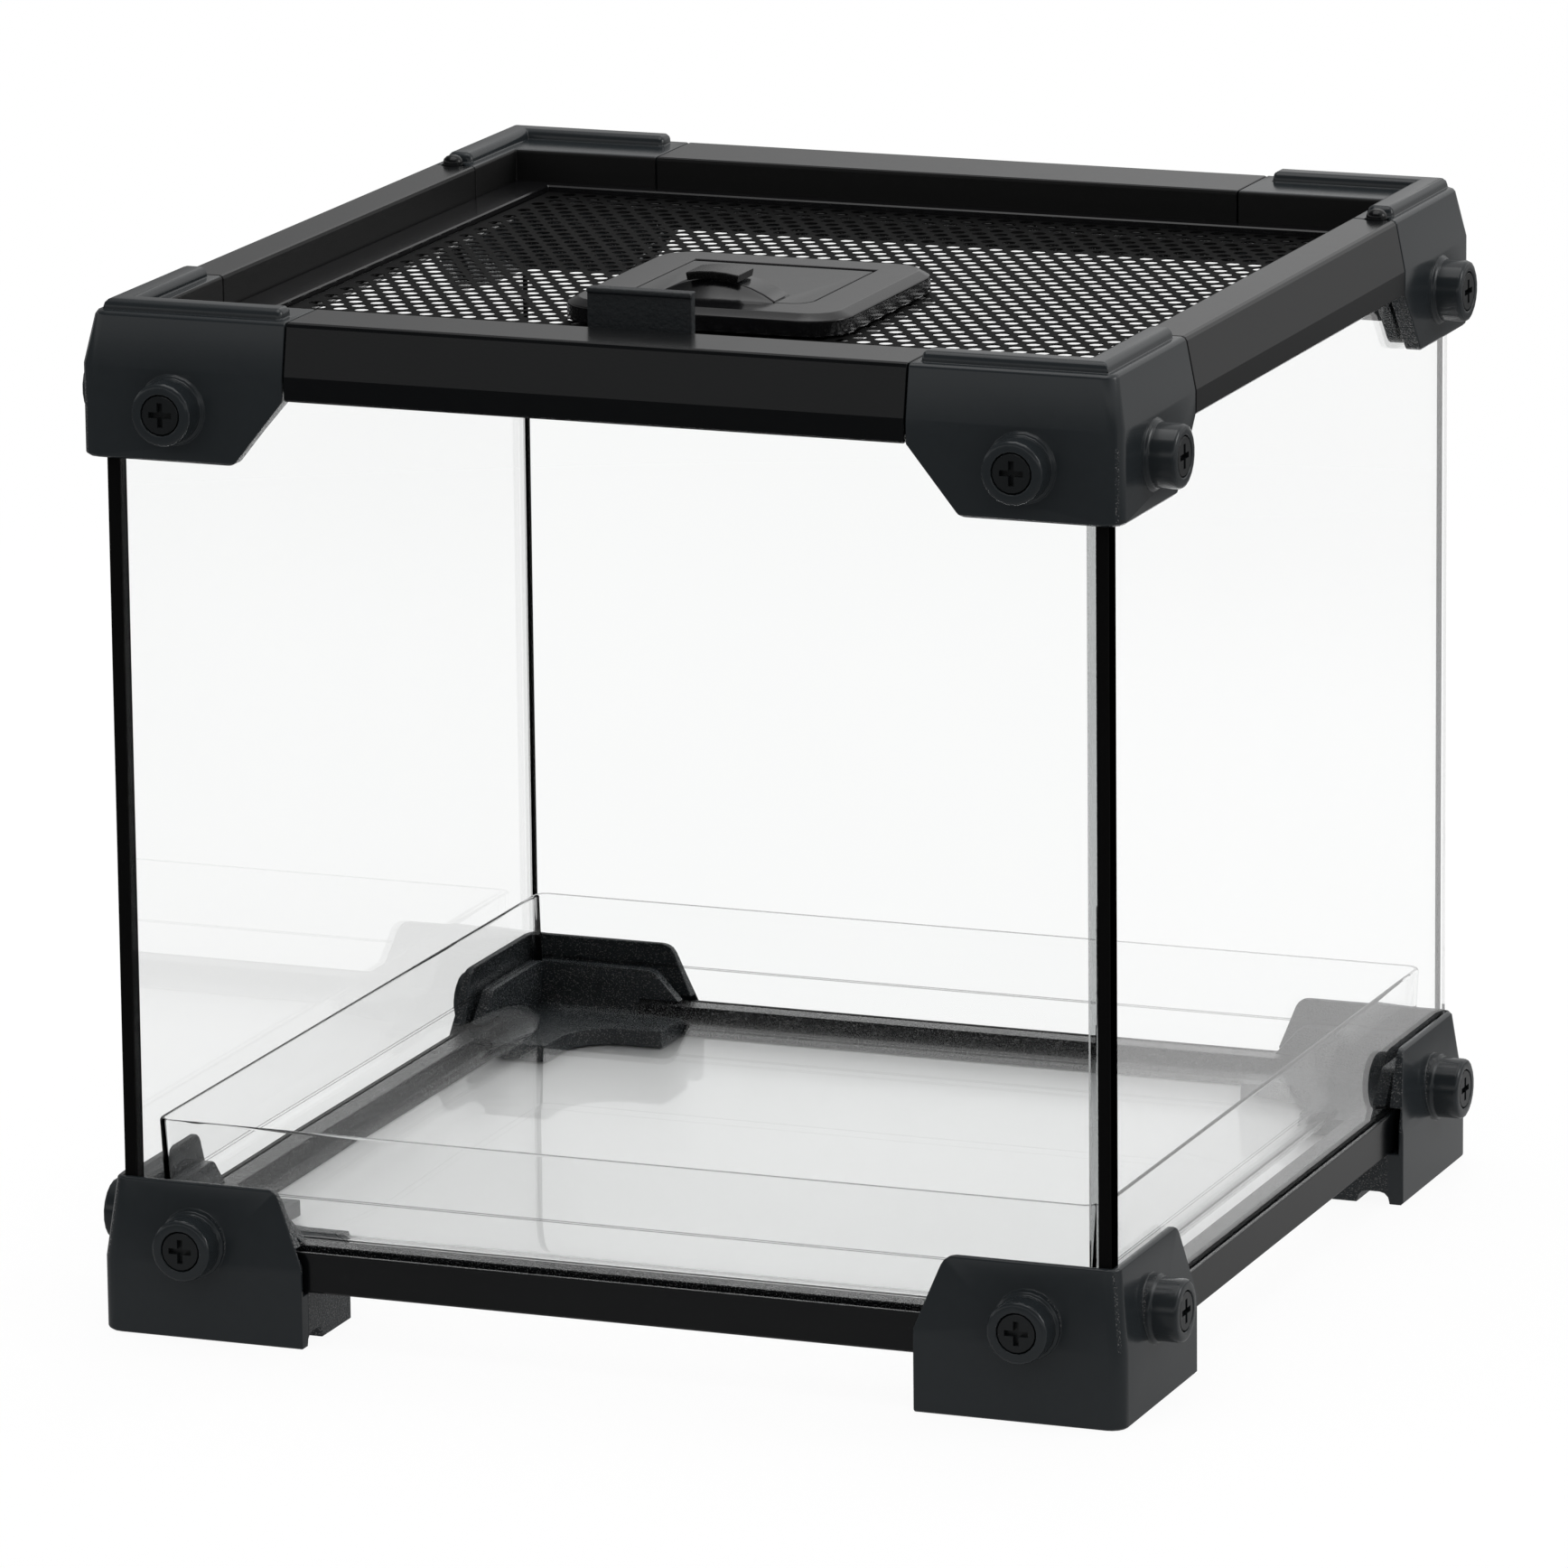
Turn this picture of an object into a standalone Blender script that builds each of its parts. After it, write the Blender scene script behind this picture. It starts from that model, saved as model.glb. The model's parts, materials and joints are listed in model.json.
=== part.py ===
"""A small glass terrarium with black corner caps, a hinged mesh lid and a feeding hatch.

Sizes are millimetres, and each mesh turns them into metres as it is made. The origin is on the floor
under the middle, +Z is up and the front faces -Y. The four sides are alike, so a point on a side is
given by how far along the side it lies and how far out from the middle, and a corner piece is drawn
once, for the front right corner, and turned to the others.
"""

from math import cos, pi, radians, sin, sqrt, tan

import bmesh
import bpy
from mathutils import Matrix, Vector

MM = 0.001
GAP = 0.3  # left between pieces that touch
REACH = 4.0  # how far a cutter runs past what it cuts
CORNERS = ("front_right", "rear_right", "rear_left", "front_left")
SIDES = ("front", "right", "rear", "left")
ACROSS = Matrix(((0, -1, 0, 0), (-1, 0, 0, 0), (0, 0, 1, 0), (0, 0, 0, 1)))  # front arm to right arm

# Outer faces, as distances out from the middle
FACE = 102.3
LEANING_FACE = 100.4  # where a face that leans inward ends
CORNER_ROUND = 3.0
EDGE_ROUND = 0.8
SEAM = 61.1  # along a side, where the corner pieces end

# Top frame heights
TOP = 196.0
TOP_BEND = 186.2  # the faces lean inward above this
RAIL_BOTTOM = 181.5
CAP_BOTTOM = 168.7
LOBE_BOTTOM = 169.5
CAP_SLANT_END = 71.5
LOBE_SLANT_END = 72.5

# Top opening, as distances of its walls out from the middle
OPEN_SIDE = 91.2
OPEN_FRONT = 86.0
OPEN_REAR = 81.9
OPEN_ROUND = 0.7
FLANGE_REACH = 2.7  # the flange that the lid lies on
FLANGE_LOW = 184.9
FLANGE_HIGH = 186.6
FLANGE_END = 75.5  # clear of the lid's hinge

# Joints between the top rails and the caps
TENON_OUT = (93.4, 99.0)
TENON_HIGH = (188.4, 193.6)
TENON_LENGTH = 6.0
DOWEL_OUT = 96.3
DOWEL_ALONG = 61.8
DOWEL_RADIUS = 2.05
DOWEL_BOTTOM = 190.3

# Glass and the slots that hold it
GLASS_OUT = (96.9, 98.7)
GLASS_HIGH = (14.2, 186.0)
SLOT_OUT = (96.6, 99.0)
SLOT_HIGH = (13.9, 186.3)
LOBE_OUT = 94.0  # inner face of the lobes that back the glass
POCKET_OUT = 94.3
FRONT_PANE_HALF = 95.9
REAR_PANE_HALF = 95.6
SIDE_PANE_FRONT = 94.9

# Stacking ridge on the caps and its groove under the feet
RIDGE_OUT = (93.3, 98.7)
RIDGE_HEIGHT = 2.0
RIDGE_TIP = ((0.0, 0.62), (0.3, 0.86), (1.0, 1.0))  # share of its section at each distance from its end
FRONT_RIDGE_START = 62.8
REAR_RIDGE_START = 64.2
GROOVE_OUT = (92.8, 99.4)
GROOVE_DEPTH = 2.4

# Screw bosses
BOSS_ALONG = 83.5
BOSS_FACE = 108.0
BOSS_RADIUS = 6.0
BOSS_RING_RADIUS = 6.6
BOSS_RING_FACE = 103.0
BOSS_EDGE = 0.8
BOSS_ROOT = 100.5
BOSS_SIDES = 20
TOP_BOSS_HEIGHT = 178.6
FOOT_BOSS_HEIGHT = 18.6
SCREW_HEAD_RADIUS = 3.65
SCREW_HEAD_HEIGHT = 2.0
SCREW_SHANK_RADIUS = 2.0
SCREW_END = 99.3
SCREW_CLEARANCE = 0.25
CROSS_LENGTH = 4.6
CROSS_WIDTH = 1.1
CROSS_DEPTH = 1.2

# Feet and bottom rails
FOOT_BEND = 14.4
FOOT_TOP = 30.0
FOOT_SLANT_START = 16.0
FOOT_SLANT_END = 66.9
FOOT_LOBE_LOW = 18.0
FOOT_LOBE_TOP = 25.5
FOOT_LOBE_SLANT_END = 69.0
LEG_INNER = 79.2
LEG_FILLET = 10.0
FLOOR_CLAMP_TOP = 16.3
FLOOR_GROOVE = (10.0, 12.8)
FLOOR_PANE_HALF = 94.0
FLOOR_PANE = (10.3, 12.5)
RAIL_POCKET_OUT = (91.7, 101.3)
RAIL_POCKET_HIGH = (10.3, 19.2)
RAIL_POCKET_END = 72.0
LOW_RAIL_OUT = (92.0, 100.0)
LOW_RAIL_HIGH = (10.6, 18.9)
LOW_RAIL_LIP = 18.4
LEDGE_OUT = 90.0  # the rail's ledge over the floor pane, which slopes inward
LEDGE_HIGH = (13.5, 15.0)

# Clear tray
TRAY_HALF = 94.3
TRAY_WALL = 1.2
TRAY_BOTTOM = 16.6
TRAY_RIM = 40.0
TRAY_CURVE = 10.5
TRAY_CORNER = 3.0

# Lid
LID_BOTTOM = 186.9
LID_TOP = 189.9
LID_SIDE = 90.9
LID_FRONT = 85.7
LID_BAR_SIDE = 82.5
LID_BAR_FRONT = 76.9
LID_BAR_REAR = 77.4
LID_LIP = 2.0
LID_LIP_TOP = 187.9
LID_AXIS = Vector((0.0, 79.0, 188.4))
LID_ROLL = 2.6  # the rear edge is round about the hinge
LID_PIN_RADIUS = 0.8
LID_PIN_BORE = 1.1
LID_PIN_ALONG = (86.0, 95.5)
MESH_LOW = 188.2
MESH_HIGH = 188.7
MESH_HOLE = (24.0, -46.6, 1.4)

# Pull tab
TAB_HALF = 10.35
TAB_FRONT = -78.0
TAB_THICK = 2.0
TAB_TOP = 201.7
TAB_BEAD_HEIGHT = 1.0
TAB_BEAD_THICK = 2.9
TAB_FOOT_FRONT = -85.2
TAB_FOOT_THICK = 0.8
TAB_CURVE = 3.0

# Hatch frame, each rectangle as half width, front and rear
HATCH_FLAT = (26.1, -48.5, 3.2)
HATCH_BEVEL_OUT = 2.3
HATCH_TOP = 193.2
HATCH_BEVEL = 1.1
HATCH_BOTTOM = 189.0
HATCH_CORNER = 6.0
COLLAR_BOTTOM = 186.5
DOOR_OPENING = (18.5, -40.5, -3.6)
DOOR_LEDGE = (16.0, -38.0, -8.0)
LEDGE_TOP = 190.9
CLAMP_HIGH = (186.2, 187.9)
CLAMP_WIDTH = 3.5

# Hatch door, its hinge and its handle
DOOR_HALF = 18.2
DOOR_FRONT = -40.2
DOOR_CORNER = 3.7
DOOR_BOTTOM = 191.2
HATCH_AXIS = Vector((0.0, -5.7, 191.4))
KNUCKLE_RADIUS = 1.8
HATCH_PIN_RADIUS = 0.6
HATCH_PIN_HALF = 21.0
HATCH_PIN_BORE = 0.9
ARCH_HALF = 12.2
ARCH_RISE = 3.7
ARCH_REAR = -32.6
SCOOP_REACH = 5.5
GRIP_HALF = 5.35
GRIP_FRONT = -41.8
GRIP_REAR = -33.7
GRIP_TOP = 198.7
PEG_RADIUS = 1.5
PEG_PLACE = -36.4


def clear_scene():
    for thing in list(bpy.data.objects):
        bpy.data.objects.remove(thing, do_unlink=True)


def make_material(name, colour, roughness, metallic=0.0, transmission=0.0):
    material = bpy.data.materials.new(name)
    material.use_nodes = True
    shader = material.node_tree.nodes["Principled BSDF"]
    shader.inputs["Base Color"].default_value = (*colour, 1.0)
    shader.inputs["Roughness"].default_value = roughness
    shader.inputs["Metallic"].default_value = metallic
    shader.inputs["Transmission Weight"].default_value = transmission
    return material


def outline(corners, steps=3):
    """The corners (x, y) or (x, y, radius) of a closed outline, with each radius drawn as an arc."""
    points = []
    for i, corner in enumerate(corners):
        here = Vector(corner[:2])
        radius = corner[2] if len(corner) > 2 else 0.0
        if radius == 0.0:
            points.append(here)
            continue
        back = (Vector(corners[i - 1][:2]) - here).normalized()
        ahead = (Vector(corners[(i + 1) % len(corners)][:2]) - here).normalized()
        half = back.angle(ahead) / 2
        centre = here + (back + ahead).normalized() * radius / sin(half)
        start = here + back * radius / tan(half) - centre
        turn = start.angle_signed(here + ahead * radius / tan(half) - centre)
        for k in range(steps + 1):
            points.append(centre + Matrix.Rotation(-turn * k / steps, 2) @ start)
    return [tuple(point) for point in points]


def rectangle(half, front, rear, radius=0.0, steps=3):
    """A rectangle about the Y axis, with all its corners rounded alike."""
    corners = [(-half, front, radius), (half, front, radius), (half, rear, radius), (-half, rear, radius)]
    return outline(corners, steps)


def at_height(points, z):
    return [(x, y, z) for x, y in points]


def loft(loops, closed=False):
    """A solid through loops of equally many points, capped at its ends or closed into a ring."""
    model = bmesh.new()
    rings = [[model.verts.new(Vector(point) * MM) for point in loop] for loop in loops]
    pairs = list(zip(rings, rings[1:]))
    if closed:
        pairs.append((rings[-1], rings[0]))
    else:
        model.faces.new(rings[0])
        model.faces.new(rings[-1])
    for low, high in pairs:
        for i in range(len(low)):
            j = (i + 1) % len(low)
            model.faces.new((low[i], low[j], high[j], high[i]))
    bmesh.ops.recalc_face_normals(model, faces=model.faces)
    return finished(model)


def finished(model):
    """The mesh of a solid drawn with bmesh."""
    mesh = bpy.data.meshes.new("solid")
    model.to_mesh(mesh)
    model.free()
    return mesh


def box(low, high):
    """A box between two opposite corners."""
    plan = [(low[0], low[1]), (high[0], low[1]), (high[0], high[1]), (low[0], high[1])]
    return loft([at_height(plan, low[2]), at_height(plan, high[2])])


def bar_along_x(section, start, end):
    """A section of points (y, z) drawn out along X."""
    return loft([[(x, y, z) for y, z in section] for x in (start, end)])


def circle(radius, steps, turn=0.0):
    angles = [2 * pi * (k + turn) / steps for k in range(steps)]
    return [(radius * cos(angle), radius * sin(angle)) for angle in angles]


def turned(profile, steps, turn=0.5):
    """A round solid about Z, from points (radius, height)."""
    return loft([at_height(circle(radius, steps, turn), z) for radius, z in profile])


def rod_along_x(radius, start, end, axis, steps=16):
    """A round rod along X about an axis point."""
    ring = [(axis.y + y, axis.z + z) for y, z in circle(radius, steps)]
    return bar_along_x(ring, start, end)


def moved(mesh, matrix):
    """A copy of a mesh, moved by a matrix whose shift is in metres."""
    copy = mesh.copy()
    copy.transform(matrix)
    if matrix.determinant() < 0:
        copy.flip_normals()
    return copy


def on_both_arms(mesh):
    """A mesh on the front arm of the front right corner, and its mirror image on the right arm."""
    return [mesh, moved(mesh, ACROSS)]


def front_plate(shape, inner, outer):
    """An outline of points (along, z) on the front side, drawn outward between two distances."""
    return loft([[(along, -out, z) for along, z in shape] for out in (inner, outer)])


def elbow(section, loops):
    """A section of points (out, z) swept round the front right corner.

    loops gives each end loop's distance along the side with the share of the section's size there.
    """
    middle = (max(out for out, z in section) + min(out for out, z in section)) / 2
    base = min(z for out, z in section)
    sections = []
    for along, share in loops:
        scaled = [(middle + (out - middle) * share, base + (z - base) * share) for out, z in section]
        sections.append((along, scaled))
    front = [[(along, -out, z) for out, z in points] for along, points in sections]
    side = [[(out, -along, z) for out, z in points] for along, points in reversed(sections)]
    return loft(front + [[(out, -out, z) for out, z in section]] + side)


def quarter_turn(count):
    return Matrix.Rotation(count * pi / 2, 4, "Z")


def helper(mesh):
    """An object that only shapes others: it isn't rendered."""
    thing = bpy.data.objects.new("helper", mesh)
    thing.hide_render = True
    thing.display_type = "WIRE"
    bpy.context.scene.collection.objects.link(thing)
    return thing


def carved(mesh, joins=(), cuts=()):
    """The mesh with some solids joined to it and others cut out of it."""
    block = helper(mesh)
    helpers = [block]
    for operation, tools in (("UNION", joins), ("DIFFERENCE", cuts)):
        for tool in tools:
            helpers.append(helper(tool))
            change = block.modifiers.new(operation, "BOOLEAN")
            change.operation = operation
            change.solver = "EXACT"
            change.object = helpers[-1]
    graph = bpy.context.evaluated_depsgraph_get()
    result = bpy.data.meshes.new_from_object(block.evaluated_get(graph))
    for thing in helpers:
        bpy.data.objects.remove(thing, do_unlink=True)
    return result


def add_empty(name, place, parent=None):
    """An empty at a place in millimetres, which its children turn with."""
    thing = bpy.data.objects.new(name, None)
    thing.empty_display_size = 0.02
    bpy.context.scene.collection.objects.link(thing)
    base = Vector()
    if parent:
        thing.parent = parent
        base = parent.matrix_world.translation
    thing.location = Vector(place) * MM - base
    bpy.context.view_layer.update()
    return thing


def add_piece(name, mesh, material, parent, matrix=None):
    """A visible piece, its mesh drawn about the parent's place unless a matrix sets it elsewhere."""
    if matrix is None:
        mesh.transform(Matrix.Translation(-parent.matrix_world.translation))
    mesh.name = name
    mesh.materials.clear()
    mesh.materials.append(material)
    mesh.shade_smooth()
    mesh.set_sharp_from_angle(angle=radians(32))
    thing = bpy.data.objects.new(name, mesh)
    bpy.context.scene.collection.objects.link(thing)
    thing.parent = parent
    if matrix is not None:
        thing.matrix_local = matrix
    return thing


# Faces that lean inward


def top_face(z):
    """How far out the outer face of the top frame lies at a height."""
    lean = max(0.0, z - TOP_BEND) / (TOP - TOP_BEND)
    return FACE + (LEANING_FACE - FACE) * lean


def foot_face(z):
    """How far out the outer face of a foot lies at a height."""
    lean = max(0.0, z - FOOT_BEND) / (FOOT_TOP - FOOT_BEND)
    return FACE + (LEANING_FACE - FACE) * lean


def top_levels():
    """Heights of the top frame's outer face with how far out it is, past the round of its top edge."""
    levels = [(TOP_BEND, FACE)]
    for angle in (0, 45, 90):
        z = TOP - EDGE_ROUND * (1 - sin(radians(angle)))
        levels.append((z, top_face(z) - EDGE_ROUND * (1 - cos(radians(angle)))))
    return levels


# Pieces of the top frame


def top_rail_section(wall, has_flange):
    """Points (out, z) round a top rail, whose inner wall is that far out."""
    low = RAIL_BOTTOM
    points = [(FACE - 0.4, low), (FACE, low + 0.4)]
    points += [(out, z) for z, out in top_levels()]
    for angle in (0, 45, 90):
        side = wall + OPEN_ROUND * (1 - sin(radians(angle)))
        points.append((side, TOP - OPEN_ROUND * (1 - cos(radians(angle)))))
    if has_flange:
        reach = wall - FLANGE_REACH
        points += [(wall, FLANGE_HIGH), (reach, FLANGE_HIGH), (reach, FLANGE_LOW), (wall, FLANGE_LOW)]
    points += [(wall, low), (SLOT_OUT[0], low), (SLOT_OUT[0], SLOT_HIGH[1])]
    points += [(SLOT_OUT[1], SLOT_HIGH[1]), (SLOT_OUT[1], low)]
    return points


def dowel_hole():
    """The hole at the rear end of the right rail, cut in the rail and in the cap behind it."""
    radius = DOWEL_RADIUS + GAP
    hole = turned([(radius, DOWEL_BOTTOM - GAP), (radius, TOP + REACH)], 16)
    return moved(hole, Matrix.Translation(Vector((DOWEL_OUT, DOWEL_ALONG, 0)) * MM))


def mirrored_in_x(mesh):
    return moved(mesh, Matrix.Scale(-1, 4, (1, 0, 0)))


def top_rail(side, wall, has_flange):
    """A top rail, with a tenon at each end, turned to its side: 0 front, 1 right, 2 rear, 3 left."""
    end = SEAM - GAP / 2
    section = [(-out, z) for out, z in top_rail_section(wall, has_flange)]
    tenons = []
    for direction in (-1, 1):
        near, far = sorted((direction * (end - 1), direction * (end + TENON_LENGTH)))
        tenons.append(box((near, -TENON_OUT[1], TENON_HIGH[0]), (far, -TENON_OUT[0], TENON_HIGH[1])))
    rail = carved(bar_along_x(section, -end, end), tenons)
    rail = moved(rail, quarter_turn(side))
    if side == 1:
        rail = carved(rail, cuts=[dowel_hole()])
    if side == 3:
        rail = carved(rail, cuts=[mirrored_in_x(dowel_hole())])
    return rail


def boss(height):
    """A screw boss on the front face, standing on a low ring."""
    profile = [
        (BOSS_RING_RADIUS, BOSS_ROOT),
        (BOSS_RING_RADIUS, BOSS_RING_FACE - 0.2),
        (BOSS_RADIUS, BOSS_RING_FACE),
        (BOSS_RADIUS, BOSS_FACE - BOSS_EDGE),
        (BOSS_RADIUS - 0.25, BOSS_FACE - 0.25),
        (BOSS_RADIUS - BOSS_EDGE, BOSS_FACE),
    ]
    return moved(turned(profile, BOSS_SIDES), front_screw_place(height))


def boss_hole(height):
    """The stepped hole of a boss, through to the glass slot."""
    seat = BOSS_FACE - SCREW_HEAD_HEIGHT - GAP
    head = SCREW_HEAD_RADIUS + SCREW_CLEARANCE
    shank = SCREW_SHANK_RADIUS + GAP
    profile = [(shank, SLOT_OUT[1] - 1), (shank, seat), (head, seat), (head, BOSS_FACE + REACH)]
    return moved(turned(profile, BOSS_SIDES), front_screw_place(height))


def front_screw_place(height):
    """Where a screw or boss of the front right corner stands: its own Z points out of the front."""
    place = Matrix.Translation(Vector((BOSS_ALONG, 0, height)) * MM)
    return place @ Matrix.Rotation(pi / 2, 4, "X")


def cap_start():
    return SEAM + GAP / 2


def cap_block():
    """The outside of a top cap: a square block with a round corner and faces that lean in."""
    start = cap_start()
    levels = [(CAP_BOTTOM, FACE - 0.5), (CAP_BOTTOM + 0.5, FACE)] + top_levels()
    loops = []
    for z, out in levels:
        plan = outline([(start, -start), (out, -start), (out, -out, CORNER_ROUND), (start, -out)])
        loops.append(at_height(plan, z))
    return loft(loops)


def cap_cuts():
    """What a top cap leaves out: its inside, the glass slots, the slanted ends and the tenon holes."""
    near = cap_start() - REACH
    low = CAP_BOTTOM - REACH
    inside = box((near, -LOBE_OUT, low), (LOBE_OUT, -near, RAIL_BOTTOM))
    pocket = box((POCKET_OUT, -SLOT_OUT[1], low), (SLOT_OUT[1], -POCKET_OUT, SLOT_HIGH[1]))
    slot = box((near, -SLOT_OUT[1], low), (SLOT_OUT[1], -SLOT_OUT[0], SLOT_HIGH[1]))
    split = sum(SLOT_OUT) / 2
    wall = outline(
        [
            (near, RAIL_BOTTOM),
            (cap_start(), RAIL_BOTTOM),
            (CAP_SLANT_END, CAP_BOTTOM, 2.0),
            (CAP_SLANT_END + REACH, CAP_BOTTOM),
            (CAP_SLANT_END + REACH, low),
            (near, low),
        ]
    )
    lobe = outline(
        [
            (near, RAIL_BOTTOM),
            (cap_start() + 1, RAIL_BOTTOM),
            (LOBE_SLANT_END, LOBE_BOTTOM, 4.0),
            (split, LOBE_BOTTOM),
            (split, low),
            (near, low),
        ]
    )
    tenon_end = SEAM - GAP / 2 + TENON_LENGTH + GAP
    tenon = box(
        (near, -TENON_OUT[1] - GAP, TENON_HIGH[0] - GAP),
        (tenon_end, -TENON_OUT[0] + GAP, TENON_HIGH[1] + GAP),
    )
    cuts = [inside, pocket]
    for arm in (
        slot,
        front_plate(wall, split, FACE + REACH),
        front_plate(lobe, LOBE_OUT - 1, split),
        tenon,
        boss_hole(TOP_BOSS_HEIGHT),
    ):
        cuts += on_both_arms(arm)
    return cuts


def ridge(start):
    """The raised ridge on a cap that a second tank's foot drops over, blunt at its ends."""
    low = TOP - 1
    high = TOP + RIDGE_HEIGHT
    inner, outer = RIDGE_OUT
    section = outline([(outer, low), (outer, high, 1.4), (inner, high, 1.4), (inner, low)])
    return elbow(section, [(start + along, share) for along, share in RIDGE_TIP])


def opening_cutters():
    """The top opening: its walls with rounded upper edges, and the flange that the lid rests on."""
    side, front, rear = OPEN_SIDE, -OPEN_FRONT, OPEN_REAR
    upper = [at_height(rectangle(side, front, rear), FLANGE_HIGH)]
    for angle in (0, 45, 90):
        wide = OPEN_ROUND * (1 - cos(radians(angle)))
        z = TOP - OPEN_ROUND * (1 - sin(radians(angle)))
        upper.append(at_height(rectangle(side + wide, front - wide, rear + wide), z))
    wide = OPEN_ROUND
    upper.append(at_height(rectangle(side + wide, front - wide, rear + wide), TOP + REACH))
    low = CAP_BOTTOM - REACH
    reach = side - FLANGE_REACH
    return [
        loft(upper),
        box((-reach, front + FLANGE_REACH, low), (reach, rear, FLANGE_HIGH + 1)),
        box((-side, front, low), (side, rear, FLANGE_LOW)),
        box((-side, FLANGE_END, low), (side, rear, FLANGE_HIGH + 1)),
    ]


def top_cap(common, turns):
    """A cap turned to its corner, with its ridge and its share of the opening."""
    is_rear = turns in (1, 2)
    start = REAR_RIDGE_START if is_rear else FRONT_RIDGE_START
    cap = moved(carved(common, [ridge(start)]), quarter_turn(turns))
    cuts = opening_cutters()
    if is_rear:
        bore = rod_along_x(LID_PIN_BORE, OPEN_SIDE - REACH, LID_PIN_ALONG[1] + GAP, LID_AXIS)
        holes = [bore, dowel_hole()]
        if turns == 2:
            holes = [mirrored_in_x(hole) for hole in holes]
        cuts += holes
    return carved(cap, cuts=cuts)


def dowel():
    """The round-headed peg that locks a side rail's tenon."""
    profile = [(DOWEL_RADIUS - 0.2, DOWEL_BOTTOM), (DOWEL_RADIUS, DOWEL_BOTTOM + 0.3)]
    spring = TOP + 0.5
    for angle in (0, 25, 50, 75):
        radius = DOWEL_RADIUS * cos(radians(angle))
        profile.append((radius, spring + 1.5 * sin(radians(angle))))
    return turned(profile, 16)


# Feet, bottom rails, glass and tray


def foot():
    """The front right foot: an L-shaped leg, a clamp for the floor pane and a wall outside the glass."""
    start = cap_start()
    near = start - REACH
    high = FOOT_TOP + REACH
    top = foot_face(FOOT_TOP)
    loops = []
    for z, out in (
        (0.0, FACE - 0.5),
        (0.5, FACE),
        (FOOT_BEND, FACE),
        (FOOT_TOP - 0.5, foot_face(FOOT_TOP - 0.5)),
        (FOOT_TOP, top - 0.5),
    ):
        plan = outline(
            [
                (start, -LEG_INNER),
                (LEG_INNER, -LEG_INNER, LEG_FILLET),
                (LEG_INNER, -start),
                (out, -start),
                (out, -out, CORNER_ROUND),
                (start, -out),
            ],
            4,
        )
        loops.append(at_height(plan, z))
    split = sum(SLOT_OUT) / 2
    wall = outline(
        [
            (near, FOOT_SLANT_START),
            (start, FOOT_SLANT_START),
            (FOOT_SLANT_END, FOOT_TOP, 3.0),
            (FOOT_SLANT_END + REACH, FOOT_TOP),
            (FOOT_SLANT_END + REACH, high),
            (near, high),
        ]
    )
    lobe = outline(
        [
            (near, FOOT_LOBE_LOW),
            (start + 1, FOOT_LOBE_LOW),
            (FOOT_LOBE_SLANT_END, FOOT_LOBE_TOP, 3.0),
            (split, FOOT_LOBE_TOP),
            (split, high),
            (near, high),
        ]
    )
    slot = box((near, -SLOT_OUT[1], SLOT_HIGH[0]), (SLOT_OUT[1], -SLOT_OUT[0], high))
    rail_pocket = box(
        (near, -RAIL_POCKET_OUT[1], RAIL_POCKET_HIGH[0]),
        (RAIL_POCKET_END, -RAIL_POCKET_OUT[0], RAIL_POCKET_HIGH[1]),
    )
    inner, outer = GROOVE_OUT
    groove = outline([(outer, -1), (outer, GROOVE_DEPTH, 2.0), (inner, GROOVE_DEPTH, 2.0), (inner, -1)])
    cuts = [
        box((near, -LOBE_OUT, FLOOR_CLAMP_TOP), (LOBE_OUT, -near, high)),
        box((near, -POCKET_OUT, FLOOR_GROOVE[0]), (POCKET_OUT, -near, FLOOR_GROOVE[1])),
        box((POCKET_OUT, -SLOT_OUT[1], SLOT_HIGH[0]), (SLOT_OUT[1], -POCKET_OUT, high)),
        elbow(groove, [(near, 1.0)]),
    ]
    for arm in (
        slot,
        rail_pocket,
        front_plate(wall, split, FACE + REACH),
        front_plate(lobe, LOBE_OUT - 1, split),
        boss_hole(FOOT_BOSS_HEIGHT),
    ):
        cuts += on_both_arms(arm)
    return carved(loft(loops), on_both_arms(boss(FOOT_BOSS_HEIGHT)), cuts)


def bottom_rail():
    """The front bottom rail, with the glass slot on top and a ledge inside over the floor pane."""
    inner, outer = LOW_RAIL_OUT
    low, high = LOW_RAIL_HIGH
    section = [
        (outer - 0.4, low),
        (outer, low + 0.4),
        (outer, LOW_RAIL_LIP),
        (SLOT_OUT[1], LOW_RAIL_LIP),
        (SLOT_OUT[1], SLOT_HIGH[0]),
        (SLOT_OUT[0], SLOT_HIGH[0]),
        (SLOT_OUT[0], high),
        (inner, high),
        (inner, FLOOR_GROOVE[1]),
        (POCKET_OUT, FLOOR_GROOVE[1]),
        (POCKET_OUT, low),
    ]
    ledge = [
        (inner + 1, LEDGE_HIGH[1]),
        (inner, LEDGE_HIGH[1]),
        (LEDGE_OUT, LEDGE_HIGH[0]),
        (LEDGE_OUT, FLOOR_GROOVE[1]),
        (inner + 1, FLOOR_GROOVE[1]),
    ]
    solids = []
    for points, end in ((section, RAIL_POCKET_END - GAP), (ledge, SEAM - GAP / 2)):
        solids.append(bar_along_x([(-out, z) for out, z in points], -end, end))
    return carved(solids[0], solids[1:])


def pane(half, side):
    """A pane of glass, standing on one side and centred on it."""
    mesh = box((-half, -GLASS_OUT[1], GLASS_HIGH[0]), (half, -GLASS_OUT[0], GLASS_HIGH[1]))
    return moved(mesh, quarter_turn(side))


def side_pane():
    """The right pane, which runs from the front seal to the rear face."""
    low = (GLASS_OUT[0], -SIDE_PANE_FRONT, GLASS_HIGH[0])
    high = (GLASS_OUT[1], GLASS_OUT[1], GLASS_HIGH[1])
    return box(low, high)


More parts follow.
